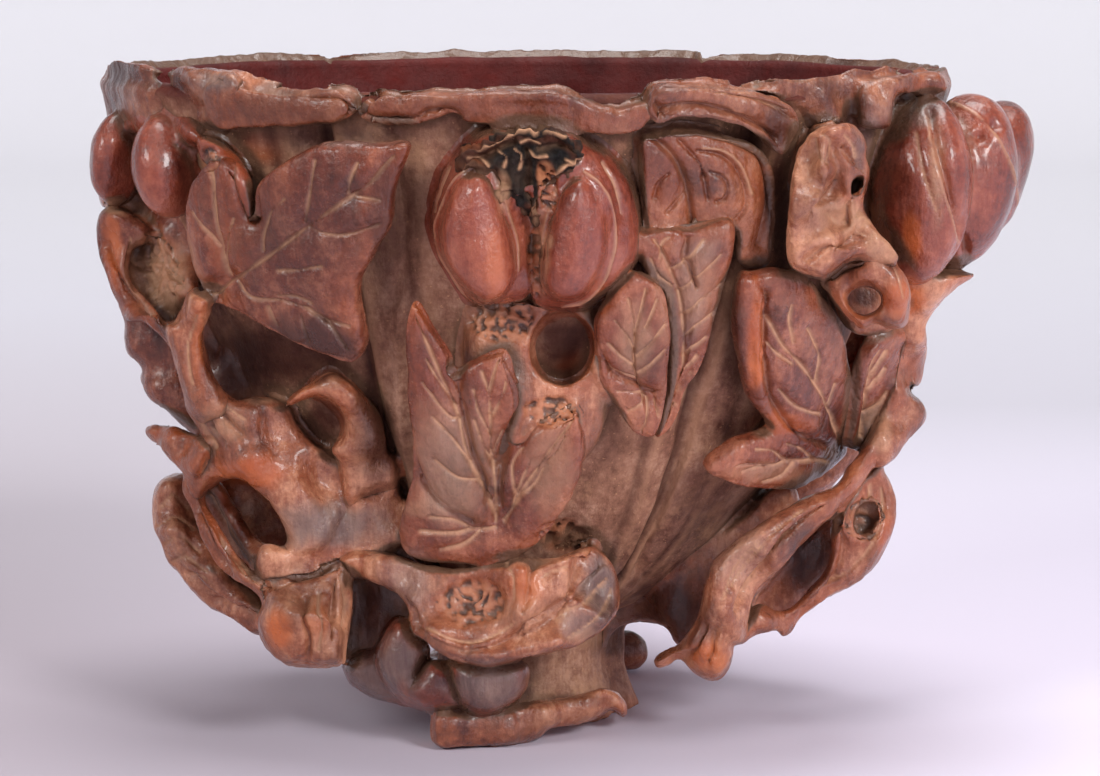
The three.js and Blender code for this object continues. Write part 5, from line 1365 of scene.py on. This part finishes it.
def cutLines(drawing, scale, flat, shown, worn, values):
    # how deep the drawn lines go at each point of flat, in millimetres; dust settles in them
    down, dust = np.zeros(len(flat)), values["dust"]
    for kind, lines in drawing.items():
        style = cutStyles[kind]
        for line in lines:
            drawn = sampled(pairs(line), 4) / scale
            within = (flat > drawn.min(0) - wear["seen"]) & (flat < drawn.max(0) + wear["seen"])
            near = np.where(within.all(1))[0]
            if not len(near):
                continue
            gap = toLine(flat[near], drawn)
            cut = np.exp(-(gap / (style["width"] * worn[near])) ** 2)
            wide = np.exp(-(gap / style["spread"]) ** 2)
            down[near] = down[near] + shown[near] * (style["depth"] * cut + style["valley"] * wide)
            settled = style["dust"] * cut * clamp01(worn[near] * wear["dustShare"]) * shown[near]
            dust[near] = np.maximum(dust[near], settled)
    return down


def drawBackVeins(name, points, normals, values):
    shape, chart = otherLeaves[name], pieces[name]["chart"]
    turn, flareAt, _ = bowlCoordinates(points[:, 0], points[:, 1], points[:, 2])
    across, risen = chart.flat(turn, flareAt)
    leant = shape["turn"] * degree
    flat = np.stack([across * math.cos(leant) - risen * math.sin(leant),
                     across * math.sin(leant) + risen * math.cos(leant)], -1)
    outward = points * (1, 1, 0) / np.linalg.norm(points[:, :2], axis=1, keepdims=True)
    shown = smoothStep(*wear["back"], (normals * outward).sum(1))
    worn = np.full(len(points), wear["backWidth"])
    return cutLines(backVeins[name], 1 / (shape["lengthShare"] * bowl["rim"]), flat, shown, worn, values)


def drawCuts(name, points, normals, values):
    # carves the drawn lines and the porous patches into the side of a piece that faces the view
    toEye = eye - points
    facing = (normals * toEye).sum(1) / np.linalg.norm(toEye, axis=1)
    shown = smoothStep(*wear["front"], facing)
    pixels = pixelOf(points)
    scale = view["pixelsPerMillimetre"]
    worn = clamp01(wear["mean"] + wear["range"] * noiseAt(points, wear["grain"])) + wear["least"]
    down = cutLines(drawings.get(name, {}), scale, pixels / scale, shown, worn, values)
    dust = values["dust"]
    for across, height, halfWide, halfTall in porousPatches:
        inside = np.hypot((pixels[:, 0] - across) / halfWide, (pixels[:, 1] - height) / halfTall)
        inside = inside + unevenness(points, pores["ragged"])
        patch = (1 - smoothStep(*pores["edge"], inside)) * shown
        if patch.max() <= 0:
            continue
        pits = clamp01(noiseAt(points, pores["grain"]) * pores["gain"] + pores["share"])
        values["amberAndLit"] = np.maximum(values["amberAndLit"], pores["amberAndLit"] * patch)
        down += patch * (pits * pores["depth"] + pores["sunk"])
        dust[:] = np.maximum(dust, patch * pores["dust"] * (1 - pits))
        # the pits get grime and painted shade through the hollow value
        values["hollow"] = np.maximum(values["hollow"], patch * pits)
    layTones(points, shown, values)
    return down


# Finishes of the aged horn
def colour(red, green, blue):
    def linear(value):
        share = value / 255
        return share / 12.92 if share <= 0.04045 else ((share + 0.055) / 1.055) ** 2.4
    return (linear(red), linear(green), linear(blue), 1.0)


class Wiring:
    # a short way to wire a tree of nodes
    def __init__(self, tree):
        self.tree = tree

    def put(self, socket, value):
        if isinstance(value, bpy.types.NodeSocket):
            self.tree.links.new(value, socket)
        else:
            socket.default_value = value

    def math(self, kind, first, second=0.0):
        node = self.tree.nodes.new("ShaderNodeMath")
        node.operation = kind
        self.put(node.inputs[0], first)
        self.put(node.inputs[1], second)
        return node.outputs[0]


class Finish(Wiring):
    # one material, patterned in the piece's own millimetres
    def __init__(self, name):
        self.material = bpy.data.materials.new(name)
        self.material.use_nodes = True
        super().__init__(self.material.node_tree)
        self.shader = self.tree.nodes["Principled BSDF"]
        self.place = self.tree.nodes.new("ShaderNodeTexCoord").outputs["Object"]

    def noise(self, scale, detail, roughness, stretch=None):
        place = self.place
        if stretch:
            mapping = self.tree.nodes.new("ShaderNodeMapping")
            mapping.inputs["Scale"].default_value = stretch
            self.put(mapping.inputs["Vector"], place)
            place = mapping.outputs[0]
        node = self.tree.nodes.new("ShaderNodeTexNoise")
        node.inputs["Scale"].default_value = scale
        node.inputs["Detail"].default_value = detail
        node.inputs["Roughness"].default_value = roughness
        self.put(node.inputs["Vector"], place)
        return node.outputs["Fac"]

    def ramp(self, value, places, tones):
        node = self.tree.nodes.new("ShaderNodeValToRGB")
        self.put(node.inputs["Fac"], value)
        elements = node.color_ramp.elements
        while len(elements) < len(places):
            elements.new(0.5)
        for element, place, tone in zip(elements, places, tones):
            element.position = place
            element.color = tone
        return node.outputs["Color"]

    def span(self, value, low, high, toLow=0.0, toHigh=1.0):
        node = self.tree.nodes.new("ShaderNodeMapRange")
        node.interpolation_type = "SMOOTHSTEP"
        for label, number in (("From Min", low), ("From Max", high), ("To Min", toLow), ("To Max", toHigh)):
            node.inputs[label].default_value = number
        self.put(node.inputs["Value"], value)
        return node.outputs["Result"]

    def mix(self, share, first, second):
        node = self.tree.nodes.new("ShaderNodeMix")
        node.data_type = "RGBA"
        self.put(node.inputs["Factor"], share)
        self.put(node.inputs[6], first)
        self.put(node.inputs[7], second)
        return node.outputs[2]

    def attribute(self, name):
        node = self.tree.nodes.new("ShaderNodeAttribute")
        node.attribute_name = name
        return node.outputs["Fac"]

    def bump(self, height, strength, distance, under=None):
        node = self.tree.nodes.new("ShaderNodeBump")
        node.inputs["Strength"].default_value = strength
        node.inputs["Distance"].default_value = distance
        self.put(node.inputs["Height"], height)
        if under is not None:
            self.put(node.inputs["Normal"], under)
        return node.outputs["Normal"]


hornLook = {
    "dust": colour(196, 148, 114),
    # dark grime, and painted shade in the hollows
    "grimeAndShade": colour(40, 19, 14),
    "amber": colour(200, 104, 48),
    "resin": colour(150, 62, 26),
    "slate": colour(92, 70, 66),
    "ash": colour(148, 122, 110),
    # painted shade, also used for darker brown horn
    "paintedShadeAndDarkHorn": colour(54, 22, 16),
    "liningDeep": colour(52, 9, 8),
    "lining": colour(100, 28, 22),
}

# Patterns in the horn, with their scales to the metre
hornPatterns = {
    "clouds": {"scale": 52, "detail": 5, "roughness": 0.62},
    "streaks": {"scale": 260, "detail": 5, "roughness": 0.7, "stretch": (1, 1, 0.16)},
    "mottle": {"scale": 760, "detail": 4, "roughness": 0.75},
    "grain": {"scale": 1100, "detail": 4, "roughness": 0.65},
    "film": {"scale": 120, "detail": 8, "roughness": 0.78},
    "specks": {"scale": 1500, "detail": 3, "roughness": 0.7},
    "rubbed": {"scale": 260, "detail": 3, "roughness": 0.55},
}

# Where a pattern's tones lie, how much each pattern counts, and between which values it shows
hornPlaces = {"tones": (0.39, 0.5, 0.61), "amberAndLit": (0.3, 0.6), "grey": (0.35, 0.7), "inside": (0.3, 0.7)}
hornShares = {"clouds": 0.42, "streaks": 0.32, "mottle": 0.26, "specks": 1.6, "paintedShadeAndDarkHorn": 0.88,
              "dustRough": 0.45}
hornSpans = {"film": (0.46, 0.68), "specks": (0.6, 0.72), "dust": (0.2, 0.55, 0.55, 1.0),
             "grimeAndShade": (0.15, 0.8, 0.0, 0.88), "rubbed": (0.3, 0.7)}
hornPolish = {"coatRoughness": 0.1, "bend": 1.5, "dry": 0.2, "coated": 0.5, "smoother": 0.07, "rougher": 0.1,
              "ridges": (0.75, 0.0005), "grain": (0.85, 0.0003)}


def hornFinish(look):
    # polished horn: clouded colour, amber where thin and painted light on the lower side of the front hole,
    # pale dust in the cuts, dark grime and painted shade in the hollows, and painted shade over the shade
    # patches
    made = Finish(look["name"])
    roughness, patina, coat = look["roughness"], look["patina"], look["coat"]
    clouds, streaks, mottle, grain, film, specks, rubbed = (
        made.noise(**pattern) for pattern in hornPatterns.values())
    cloudy = made.math("MULTIPLY", clouds, hornShares["clouds"])
    cloudy = made.math("ADD", cloudy, made.math("MULTIPLY", streaks, hornShares["streaks"]))
    cloudy = made.math("ADD", cloudy, made.math("MULTIPLY", mottle, hornShares["mottle"]))
    base = made.ramp(cloudy, hornPlaces["tones"], [colour(*tone) for tone in look["tones"]])
    amber = made.ramp(clouds, hornPlaces["amberAndLit"], [hornLook["resin"], hornLook["amber"]])
    # amber where the horn is thin, and painted light on the lower side of the front hole
    base = made.mix(made.attribute("amberAndLit"), base, amber)
    weathered = made.ramp(streaks, hornPlaces["grey"], [hornLook["slate"], hornLook["ash"]])
    base = made.mix(made.attribute("grey"), base, weathered)
    film = made.span(film, *hornSpans["film"], 0.0, patina)
    specks = made.span(specks, *hornSpans["specks"], 0.0, patina * hornShares["specks"])
    film = made.math("MAXIMUM", film, specks)
    dusty = made.math("MULTIPLY", made.attribute("dust"), made.span(grain, *hornSpans["dust"]))
    dusty = made.math("MULTIPLY", dusty, look["dustiness"])
    dusty = made.math("MAXIMUM", dusty, film)
    # grime and painted shade in the hollows and pits
    grimeAndShadeShare = made.span(made.attribute("hollow"), *hornSpans["grimeAndShade"])
    base = made.mix(grimeAndShadeShare, base, hornLook["grimeAndShade"])
    base = made.mix(dusty, base, hornLook["dust"])
    # painted shade over the shade patches and the petal grooves, partly darker brown horn
    paintedShadeShare = made.math("MULTIPLY", made.attribute("paintedShadeAndDarkHorn"), hornShares["paintedShadeAndDarkHorn"])
    base = made.mix(paintedShadeShare, base, hornLook["paintedShadeAndDarkHorn"])
    lined = made.ramp(clouds, hornPlaces["inside"], [hornLook["liningDeep"], hornLook["lining"]])
    base = made.mix(made.attribute("inside"), base, lined)
    made.put(made.shader.inputs["Base Color"], base)
    smoother, rougher = roughness - hornPolish["smoother"], roughness + hornPolish["rougher"]
    rough = made.span(rubbed, *hornSpans["rubbed"], smoother, rougher)
    rough = made.math("ADD", rough, made.math("MULTIPLY", dusty, hornShares["dustRough"]))
    made.put(made.shader.inputs["Roughness"], rough)
    made.shader.inputs["Coat Weight"].default_value = coat
    made.shader.inputs["Coat Roughness"].default_value = hornPolish["coatRoughness"]
    made.shader.inputs["IOR"].default_value = hornPolish["bend"]
    made.shader.inputs["Specular IOR Level"].default_value = hornPolish["coated" if coat else "dry"]
    ridges = made.bump(streaks, *hornPolish["ridges"])
    made.put(made.shader.inputs["Normal"], made.bump(grain, *hornPolish["grain"], ridges))
    return made.material


# The finish of each slot: its three tones, and how rough, dusty, filmed over and polished it is
hornKinds = {
    "wall_horn": {"name": "wallHorn", "tones": [(86, 48, 38), (146, 101, 81), (196, 152, 126)],
                  "roughness": 0.55, "dustiness": 0.9, "patina": 0.55, "coat": 0.0},
    "leaf_horn": {"name": "leafHorn", "tones": [(66, 26, 18), (112, 54, 38), (170, 106, 80)],
                  "roughness": 0.26, "dustiness": 0.95, "patina": 0.12, "coat": 0.2},
    "fruit_horn": {"name": "fruitHorn", "tones": [(84, 32, 23), (134, 62, 44), (168, 92, 68)],
                   "roughness": 0.18, "dustiness": 0.8, "patina": 0.04, "coat": 0.4},
    "branch_horn": {"name": "branchHorn", "tones": [(86, 40, 27), (146, 82, 56), (206, 144, 110)],
                    "roughness": 0.3, "dustiness": 0.95, "patina": 0.13, "coat": 0.2},
    "rim_horn": {"name": "rimHorn", "tones": [(66, 30, 21), (118, 65, 46), (170, 112, 84)],
                 "roughness": 0.28, "dustiness": 0.9, "patina": 0.12, "coat": 0.2},
    "crust": {"name": "nutCrust", "tones": [(8, 7, 8), (22, 18, 17), (52, 42, 35)],
              "roughness": 0.75, "dustiness": 0.9, "patina": 0.04, "coat": 0.0},
}
finishes = {slot: hornFinish(look) for slot, look in hornKinds.items()}


def slotOf(name):
    if name in ("cup_wall", "base_stump"):
        return "wall_horn"
    if name.endswith("_crown"):
        return "crust"
    if "fruit" in name:
        return "fruit_horn"
    if name.startswith("rim_") or name == "scroll_panel":
        return "rim_horn"
    if name.endswith("_leaf") and name not in ("front_curled_leaf", "left_scale_leaf"):
        return "leaf_horn"
    return "branch_horn"


def layAttributes(mesh, values):
    for label, numbers in values.items():
        layer = mesh.attributes.new(label, "FLOAT", "POINT")
        layer.data.foreach_set("value", np.asarray(numbers, np.float32))


def objectFrom(name, points, faces, values):
    mesh = bpy.data.meshes.new(name)
    sides = faces.shape[1]
    mesh.vertices.add(len(points))
    mesh.vertices.foreach_set("co", (points / perMetre).astype(np.float32).ravel())
    mesh.loops.add(faces.size)
    mesh.loops.foreach_set("vertex_index", faces.astype(np.int32).ravel())
    mesh.polygons.add(len(faces))
    mesh.polygons.foreach_set("loop_start", np.arange(0, faces.size, sides, dtype=np.int32))
    mesh.update(calc_edges=True)
    mesh.polygons.foreach_set("use_smooth", np.ones(len(faces), bool))
    layAttributes(mesh, values)
    mesh.validate()
    made = bpy.data.objects.new(name, mesh)
    bpy.context.scene.collection.objects.link(made)
    return made


# How far off the skin the field is read, and how much room counts as open, in millimetres
probe = {"ahead": 2.2, "open": 2.0, "behind": 3.0, "thinMost": 0.3}
hollowDust = {"carving": (0.1, 0.6, 0.2), "wall": (0.1, 0.7, 0.25)}


def dustIn(hollow, kind):
    low, high, most = hollowDust[kind]
    return smoothStep(low, high, hollow) * most


def surfaceValues(points, normals):
    # how hollow the place is, and how thin the horn is behind it
    # the finish darkens hollow places with grime and painted shade
    outward = points + normals * probe["ahead"]
    ahead = fieldAt(carved, outward) + np.maximum(outward[:, 2] - blockHigh[2], 0) * 2
    hollow = clamp01(1 - ahead / probe["open"])
    behind = fieldAt(carved, points - normals * probe["behind"])
    amberAndLit = probe["thinMost"] * clamp01(1 + behind / probe["ahead"])
    return {"hollow": hollow, "amberAndLit": amberAndLit, "dust": dustIn(hollow, "carving")}


def settle(made, node):
    # the piece stands for a CAD node and takes that node's finish
    slot = slotOf(node)
    made.data.materials.append(finishes[slot])
    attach(made, "root")
    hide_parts(node)


finePieces = list(frontLeaves) + ["scroll_panel", "rim_folded_leaf", "front_fruit_crown", "front_fruit_husk",
                                  "left_hollow_stub", "right_pierced_knot"]
triangles = 0
for name in pieces:
    shape = meshOf(name, fine=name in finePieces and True)
    if shape is None:
        print("empty", name)
        continue
    points, faces = shape
    normals = normalsOf(points, faces)
    values = surfaceValues(points, normals)
    down = drawCuts(name, points, normals, values) + engraving(name, points)
    if name in backVeins:
        down += drawBackVeins(name, points, normals, values)
    points = points + normals * (unevenness(points) - down)[:, None]
    points[:, 2] = np.maximum(points[:, 2], 0)
    settle(objectFrom("carved_" + name, points, faces, values), name)
    triangles += 2 * len(faces)
print("meshed sub-parts,", triangles, "triangles")

# The bowl's wall follows a rule, so Geometry Nodes lay it out: a profile carried round the petals
wallLayout = {"turns": 440, "outerRows": 110, "innerRows": 40, "lipRows": 8, "lipRound": 1.6,
              "lipGroove": 0.5, "floorRows": 16, "floorFrom": 0.94, "floorDrop": 0.2, "floorDip": 1.0}


def wallProfile():
    # rows of flare share, inset from the outer skin, and height; grooved is 1 on the outside
    rows = []
    for share in np.linspace(0, 1, wallLayout["outerRows"]):
        rows.append((share, 0.0, bowl["foot"] + bowlRise * share ** (1 / bowl["flareShare"]), 1.0))
    lip = wallLayout["lipRound"]
    rows[-1] = (1.0, 0.0, bowl["rim"] - lip, 1.0)
    for k in range(1, wallLayout["lipRows"]):
        turn = math.pi / 2 * k / wallLayout["lipRows"]
        height = bowl["rim"] - lip * (1 - math.sin(turn))
        rows.append((1.0, lip * (1 - math.cos(turn)), height, wallLayout["lipGroove"]))
    thick = bowl["thickness"]
    for k in range(1, wallLayout["lipRows"] + 1):
        turn = math.pi / 2 * k / wallLayout["lipRows"]
        rows.append((1.0, thick - lip * (1 - math.sin(turn)), bowl["rim"] - lip * (1 - math.cos(turn)), 0.0))
    lowShare = ((bowl["floor"] - bowl["foot"]) / bowlRise) ** bowl["flareShare"]
    for share in np.linspace(1, 0, wallLayout["innerRows"])[1:]:
        flareAt = lowShare + (1 - lowShare) * share
        height = bowl["foot"] + bowlRise * flareAt ** (1 / bowl["flareShare"])
        if height < bowl["rim"] - lip:
            rows.append((flareAt, thick, height, 0.0))
    for share in np.linspace(wallLayout["floorFrom"], 0, wallLayout["floorRows"]):
        dip = wallLayout["floorDip"] * (1 - share ** 2) + wallLayout["floorDrop"]
        rows.append((lowShare * share, thick * share, bowl["floor"] - dip, 0.0))
    return np.array(rows)


def buildWall():
    rows = wallProfile()
    profile = bpy.data.meshes.new("wall_profile")
    profile.vertices.add(len(rows))
    profile.vertices.foreach_set("co", rows[:, :3].astype(np.float32).ravel())
    grooved = profile.attributes.new("grooved", "FLOAT", "POINT")
    grooved.data.foreach_set("value", rows[:, 3].astype(np.float32))
    made = bpy.data.objects.new("carved_cup_wall", profile)
    bpy.context.scene.collection.objects.link(made)
    tree = bpy.data.node_groups.new("petalledWall", "GeometryNodeTree")
    sizes = {
        "Half Width": bowl["halfWidth"],
        "Half Depth": bowl["halfDepth"],
        "Petals": float(bowl["petals"]),
        "Petal Turn": bowl["petalTurn"] * degree,
        "Groove Depth": bowl["grooveDepthShare"],
        "Groove Half Turn": bowl["grooveHalfTurn"] * degree,
        "Scale": 1 / perMetre,
    }
    counted = {"Turns": wallLayout["turns"], "Rows": len(rows)}
    face = tree.interface
    face.new_socket("Geometry", in_out="INPUT", socket_type="NodeSocketGeometry")
    sockets = {}
    for label in sizes:
        sockets[label] = face.new_socket(label, in_out="INPUT", socket_type="NodeSocketFloat").identifier
    for label in counted:
        sockets[label] = face.new_socket(label, in_out="INPUT", socket_type="NodeSocketInt").identifier
    sockets["Finish"] = face.new_socket("Finish", in_out="INPUT", socket_type="NodeSocketMaterial").identifier
    face.new_socket("Geometry", in_out="OUTPUT", socket_type="NodeSocketGeometry")
    group = tree.nodes.new("NodeGroupInput").outputs

    wiring = Wiring(tree)
    put, calc = wiring.put, wiring.math
    sheet = tree.nodes.new("GeometryNodeMeshGrid")
    put(sheet.inputs["Vertices X"], calc("ADD", group["Turns"], 1))
    put(sheet.inputs["Vertices Y"], group["Rows"])
    index = tree.nodes.new("GeometryNodeInputIndex").outputs[0]
    column = calc("FLOOR", calc("DIVIDE", calc("ADD", index, 0.5), group["Rows"]))
    row = calc("SUBTRACT", index, calc("MULTIPLY", column, group["Rows"]))
    position = tree.nodes.new("GeometryNodeInputPosition").outputs[0]
    named = tree.nodes.new("GeometryNodeInputNamedAttribute")
    put(named.inputs["Name"], "grooved")

    def readRow(value, kind):
        node = tree.nodes.new("GeometryNodeSampleIndex")
        node.data_type = kind
        put(node.inputs["Geometry"], group["Geometry"])
        put(node.inputs["Value"], value)
        put(node.inputs["Index"], row)
        return node.outputs["Value"]

    parts = tree.nodes.new("ShaderNodeSeparateXYZ")
    put(parts.inputs[0], readRow(position, "FLOAT_VECTOR"))
    flareAt, inset, height = parts.outputs
    turn = calc("MULTIPLY", calc("DIVIDE", column, group["Turns"]), 2 * math.pi)
    pitch = calc("DIVIDE", 2 * math.pi, group["Petals"])
    half = calc("DIVIDE", pitch, 2.0)
    spread = calc("ADD", calc("SUBTRACT", turn, group["Petal Turn"]), half)
    across = calc("SUBTRACT", calc("FLOORED_MODULO", spread, pitch), half)
    ahead = calc("GREATER_THAN", across, 0.0)
    lean = calc("SUBTRACT", bowl["grooveLean"], calc("MULTIPLY", ahead, bowl["grooveLean"] - 1))
    reach = calc("MULTIPLY", group["Groove Half Turn"], lean)
    groove = calc("MAXIMUM", calc("SUBTRACT", 1.0, calc("DIVIDE", calc("ABSOLUTE", across), reach)), 0.0)
    groove = calc("MULTIPLY", groove, group["Groove Depth"])
    groove = calc("MULTIPLY", groove, readRow(named.outputs[0], "FLOAT"))
    keep = calc("MULTIPLY", calc("SUBTRACT", 1.0, groove), group["Scale"])

    def radius(size):
        return calc("MAXIMUM", calc("SUBTRACT", calc("MULTIPLY", group[size], flareAt), inset), 0.0)

    place = tree.nodes.new("ShaderNodeCombineXYZ")
    put(place.inputs[0], calc("MULTIPLY", calc("MULTIPLY", radius("Half Width"), calc("SINE", turn)), keep))
    put(place.inputs[1], calc("MULTIPLY", calc("MULTIPLY", radius("Half Depth"), calc("COSINE", turn)),
                              calc("MULTIPLY", keep, -1.0)))
    put(place.inputs[2], calc("MULTIPLY", height, group["Scale"]))
    laid = tree.nodes.new("GeometryNodeSetPosition")
    put(laid.inputs["Geometry"], sheet.outputs["Mesh"])
    put(laid.inputs["Position"], place.outputs[0])
    merged = tree.nodes.new("GeometryNodeMergeByDistance")
    put(merged.inputs["Geometry"], laid.outputs[0])
    put(merged.inputs["Distance"], 0.00002)
    real = tree.nodes.new("GeometryNodeRealizeInstances")
    put(real.inputs[0], merged.outputs[0])
    finished = tree.nodes.new("GeometryNodeSetMaterial")
    put(finished.inputs["Geometry"], real.outputs[0])
    put(finished.inputs["Material"], group["Finish"])
    put(tree.nodes.new("NodeGroupOutput").inputs[0], finished.outputs[0])
    layer = made.modifiers.new("petalledWall", "NODES")
    layer.node_group = tree
    for label, number in {**sizes, **counted, "Finish": finishes["wall_horn"]}.items():
        layer[sockets[label]] = number
    shown = made.evaluated_get(bpy.context.evaluated_depsgraph_get())
    wall = bpy.data.meshes.new_from_object(shown)
    made.modifiers.clear()
    made.data = wall
    return made


# Painted shade lines that darken the groove between the petals and two finer lines beside it: degrees from
# the groove, and how strong each is
petalLines = [(0.0, 1.0), (-8.0, 0.6), (11.0, 0.5)]
petalLook = {"depth": 0.5, "width": 1.1, "ridgeAt": 2.4, "ridgeWidth": 1.3, "dust": 0.7, "waver": 9.0}
# The dark lining and the band under the rim, with heights in millimetres from the rim or the foot
lining = {"bandLow": 3.0, "bandHigh": 1.0, "band": 0.85, "floorUnder": 5.0, "swell": 0.4, "level": 0.6,
          "footBand": 2}


def readVectors(items, label):
    numbers = np.empty(len(items) * 3, np.float32)
    items.foreach_get(label, numbers)
    return numbers.reshape(-1, 3).astype(float)


def finishWall():
    made = buildWall()
    mesh = made.data
    points = readVectors(mesh.vertices, "co") * perMetre
    normals = readVectors(mesh.vertex_normals, "vector")
    if normals[np.argmax(points[:, 0]), 0] < 0:
        mesh.flip_normals()
        normals = -normals
    outside = (normals * points * (1, 1, 0)).sum(1) > 0
    # hollow places on the outside of the wall get grime and painted shade
    ahead = fieldAt(union, points + normals * probe["ahead"])
    hollow = np.where(outside, clamp01(1 - ahead / probe["open"]), 0)
    swell = unevenness(points)
    moved = points + normals * np.where(outside, swell, lining["swell"] * swell)[:, None]
    rim, height = bowl["rim"], points[:, 2]
    inside = np.where(outside | (height < bowl["foot"] + lining["footBand"]), 0.0, 1.0)
    band = smoothStep(rim - lining["bandLow"], rim - lining["bandHigh"], height)
    inside = np.maximum(inside, lining["band"] * band)
    level = (normals[:, 2] > lining["level"]) & (height < rim - lining["floorUnder"])
    inside = np.where(level, 1.0, inside)
    values = {"hollow": hollow, "amberAndLit": 0 * hollow, "inside": inside, "dust": dustIn(hollow, "wall")}
    down = drawCuts("cup_wall", points, normals, values) * outside
    # painted shade darkens the groove between two petals and two finer lines beside it; a paler line in the
    # dust tone lies on the ridge beside each
    turn = bowlCoordinates(points[:, 0], points[:, 1], points[:, 2])[0] / degree
    across = acrossPetal(turn) + noiseAt(points, petalLook["waver"])
    for at, strength in petalLines:
        line = np.exp(-((across - at) / petalLook["width"]) ** 2) * outside
        down += petalLook["depth"] * strength * line
        values["paintedShadeAndDarkHorn"] = np.maximum(values["paintedShadeAndDarkHorn"], strength * line)
        ridge = np.exp(-((across - at - petalLook["ridgeAt"]) / petalLook["ridgeWidth"]) ** 2) * outside
        values["dust"] = np.maximum(values["dust"], petalLook["dust"] * strength * ridge)
    for tone in tonePatches:
        values[tone] = np.where(inside > 0.9, 0, values[tone])
    moved = moved - normals * down[:, None]
    mesh.vertices.foreach_set("co", (moved / perMetre).astype(np.float32).ravel())
    layAttributes(mesh, values)
    mesh.polygons.foreach_set("use_smooth", np.ones(len(mesh.polygons), bool))
    mesh.update()
    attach(made, "root")
    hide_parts("cup_wall")
    print("wall", len(mesh.polygons))


finishWall()


# Floor with a round cove, lamps and camera
cove = {"flat": 1050.0, "radius": 330.0, "top": 620.0, "sides": 96, "bends": 12, "rings": (1.0, 300.0)}


# Painted light and shade on the paper: darker on the left and in a band further back, lighter at the front
# and towards the cove. Where these tones lie along its depth, on its left side and on the rest, and what they
# are
paperPaintedLight = {
    "left": [(0.04, 0.57, 1.0), [(172, 162, 170), (204, 202, 210), (219, 218, 223)]],
    "rest": [(0.0, 0.06, 0.33, 0.57, 1.0), [(228, 221, 236), (218, 210, 226), (194, 191, 200),
                                            (204, 202, 210), (219, 218, 223)]],
}
paperReach = {"deep": (-0.15, 1.1), "across": (-0.12, 0.06)}


def layCove():
    run = [(out, 0.0) for out in (*cove["rings"], cove["flat"])]
    for k in range(1, cove["bends"] + 1):
        turn = math.pi / 2 * k / cove["bends"]
        run.append((cove["flat"] + cove["radius"] * math.sin(turn), cove["radius"] * (1 - math.cos(turn))))
    run.append((cove["flat"] + cove["radius"], cove["top"]))
    sides = cove["sides"]
    here = np.arange(sides)
    after = (here + 1) % sides
    turns = here * 2 * math.pi / sides
    points = np.vstack([np.stack([out * np.sin(turns), out * np.cos(turns), 0 * turns + high], -1)
                        for out, high in run])
    faces = np.vstack([np.stack([low + here, low + here + sides, low + after + sides, low + after], -1)
                       for low in range(0, (len(run) - 1) * sides, sides)])
    made = objectFrom("cove", points, faces, {})
    paper = Finish("palePaper")
    parts = paper.tree.nodes.new("ShaderNodeSeparateXYZ")
    paper.put(parts.inputs[0], paper.place)
    deepening = paper.span(parts.outputs[1], *paperReach["deep"])
    # the paper's painted light and shade, by depth and across
    left, rest = (paper.ramp(deepening, places, [colour(*tone) for tone in tones])
                  for places, tones in paperPaintedLight.values())
    base = paper.mix(paper.span(parts.outputs[0], *paperReach["across"]), left, rest)
    paper.put(paper.shader.inputs["Base Color"], base)
    paper.shader.inputs["Roughness"].default_value = 0.9
    paper.shader.inputs["Specular IOR Level"].default_value = 0.1
    made.data.materials.append(paper.material)


# Lamps in millimetres and watts, their aim in metres, and the light of the room
lamps = {
    "soft_left": {"at": (-1150, -1050, 760), "size": 600, "power": 19.0},
    "soft_right": {"at": (900, -1250, 820), "size": 500, "power": 23.0},
    "soft_top": {"at": (100, 200, 1600), "size": 900, "power": 21.0},
}
lampAim = (0, 0, 0.05)
room = {"tone": (0.98, 0.97, 1.0, 1.0), "strength": 0.22}


def hangLamps():
    aim = Vector(lampAim)
    for name, lamp in lamps.items():
        light = bpy.data.lights.new(name, "AREA")
        light.energy = lamp["power"]
        light.size = lamp["size"] / perMetre
        made = bpy.data.objects.new(name, light)
        made.location = Vector(lamp["at"]) / perMetre
        made.rotation_euler = (aim - made.location).to_track_quat("-Z", "Y").to_euler()
        bpy.context.scene.collection.objects.link(made)
    world = bpy.data.worlds.new("studio")
    bpy.context.scene.world = world
    world.use_nodes = True
    sky = world.node_tree.nodes["Background"].inputs
    sky["Color"].default_value = room["tone"]
    sky["Strength"].default_value = room["strength"]


def placeCamera():
    lens = bpy.data.cameras.new("camera")
    lens.sensor_width = view["sensor"]
    lens.lens = view["sensor"] * view["pixelsPerTurn"] / view["frame"][0]
    lens.clip_end = view["clipEnd"]
    made = bpy.data.objects.new("camera", lens)
    made.location = Vector(view["eye"]) / perMetre
    made.rotation_euler = Vector(look).to_track_quat("-Z", "Y").to_euler()
    bpy.context.scene.collection.objects.link(made)
    bpy.context.scene.camera = made


layCove()
hangLamps()
placeCamera()
bpy.context.scene.view_settings.view_transform = "Standard"
print("stage, lamps and camera")
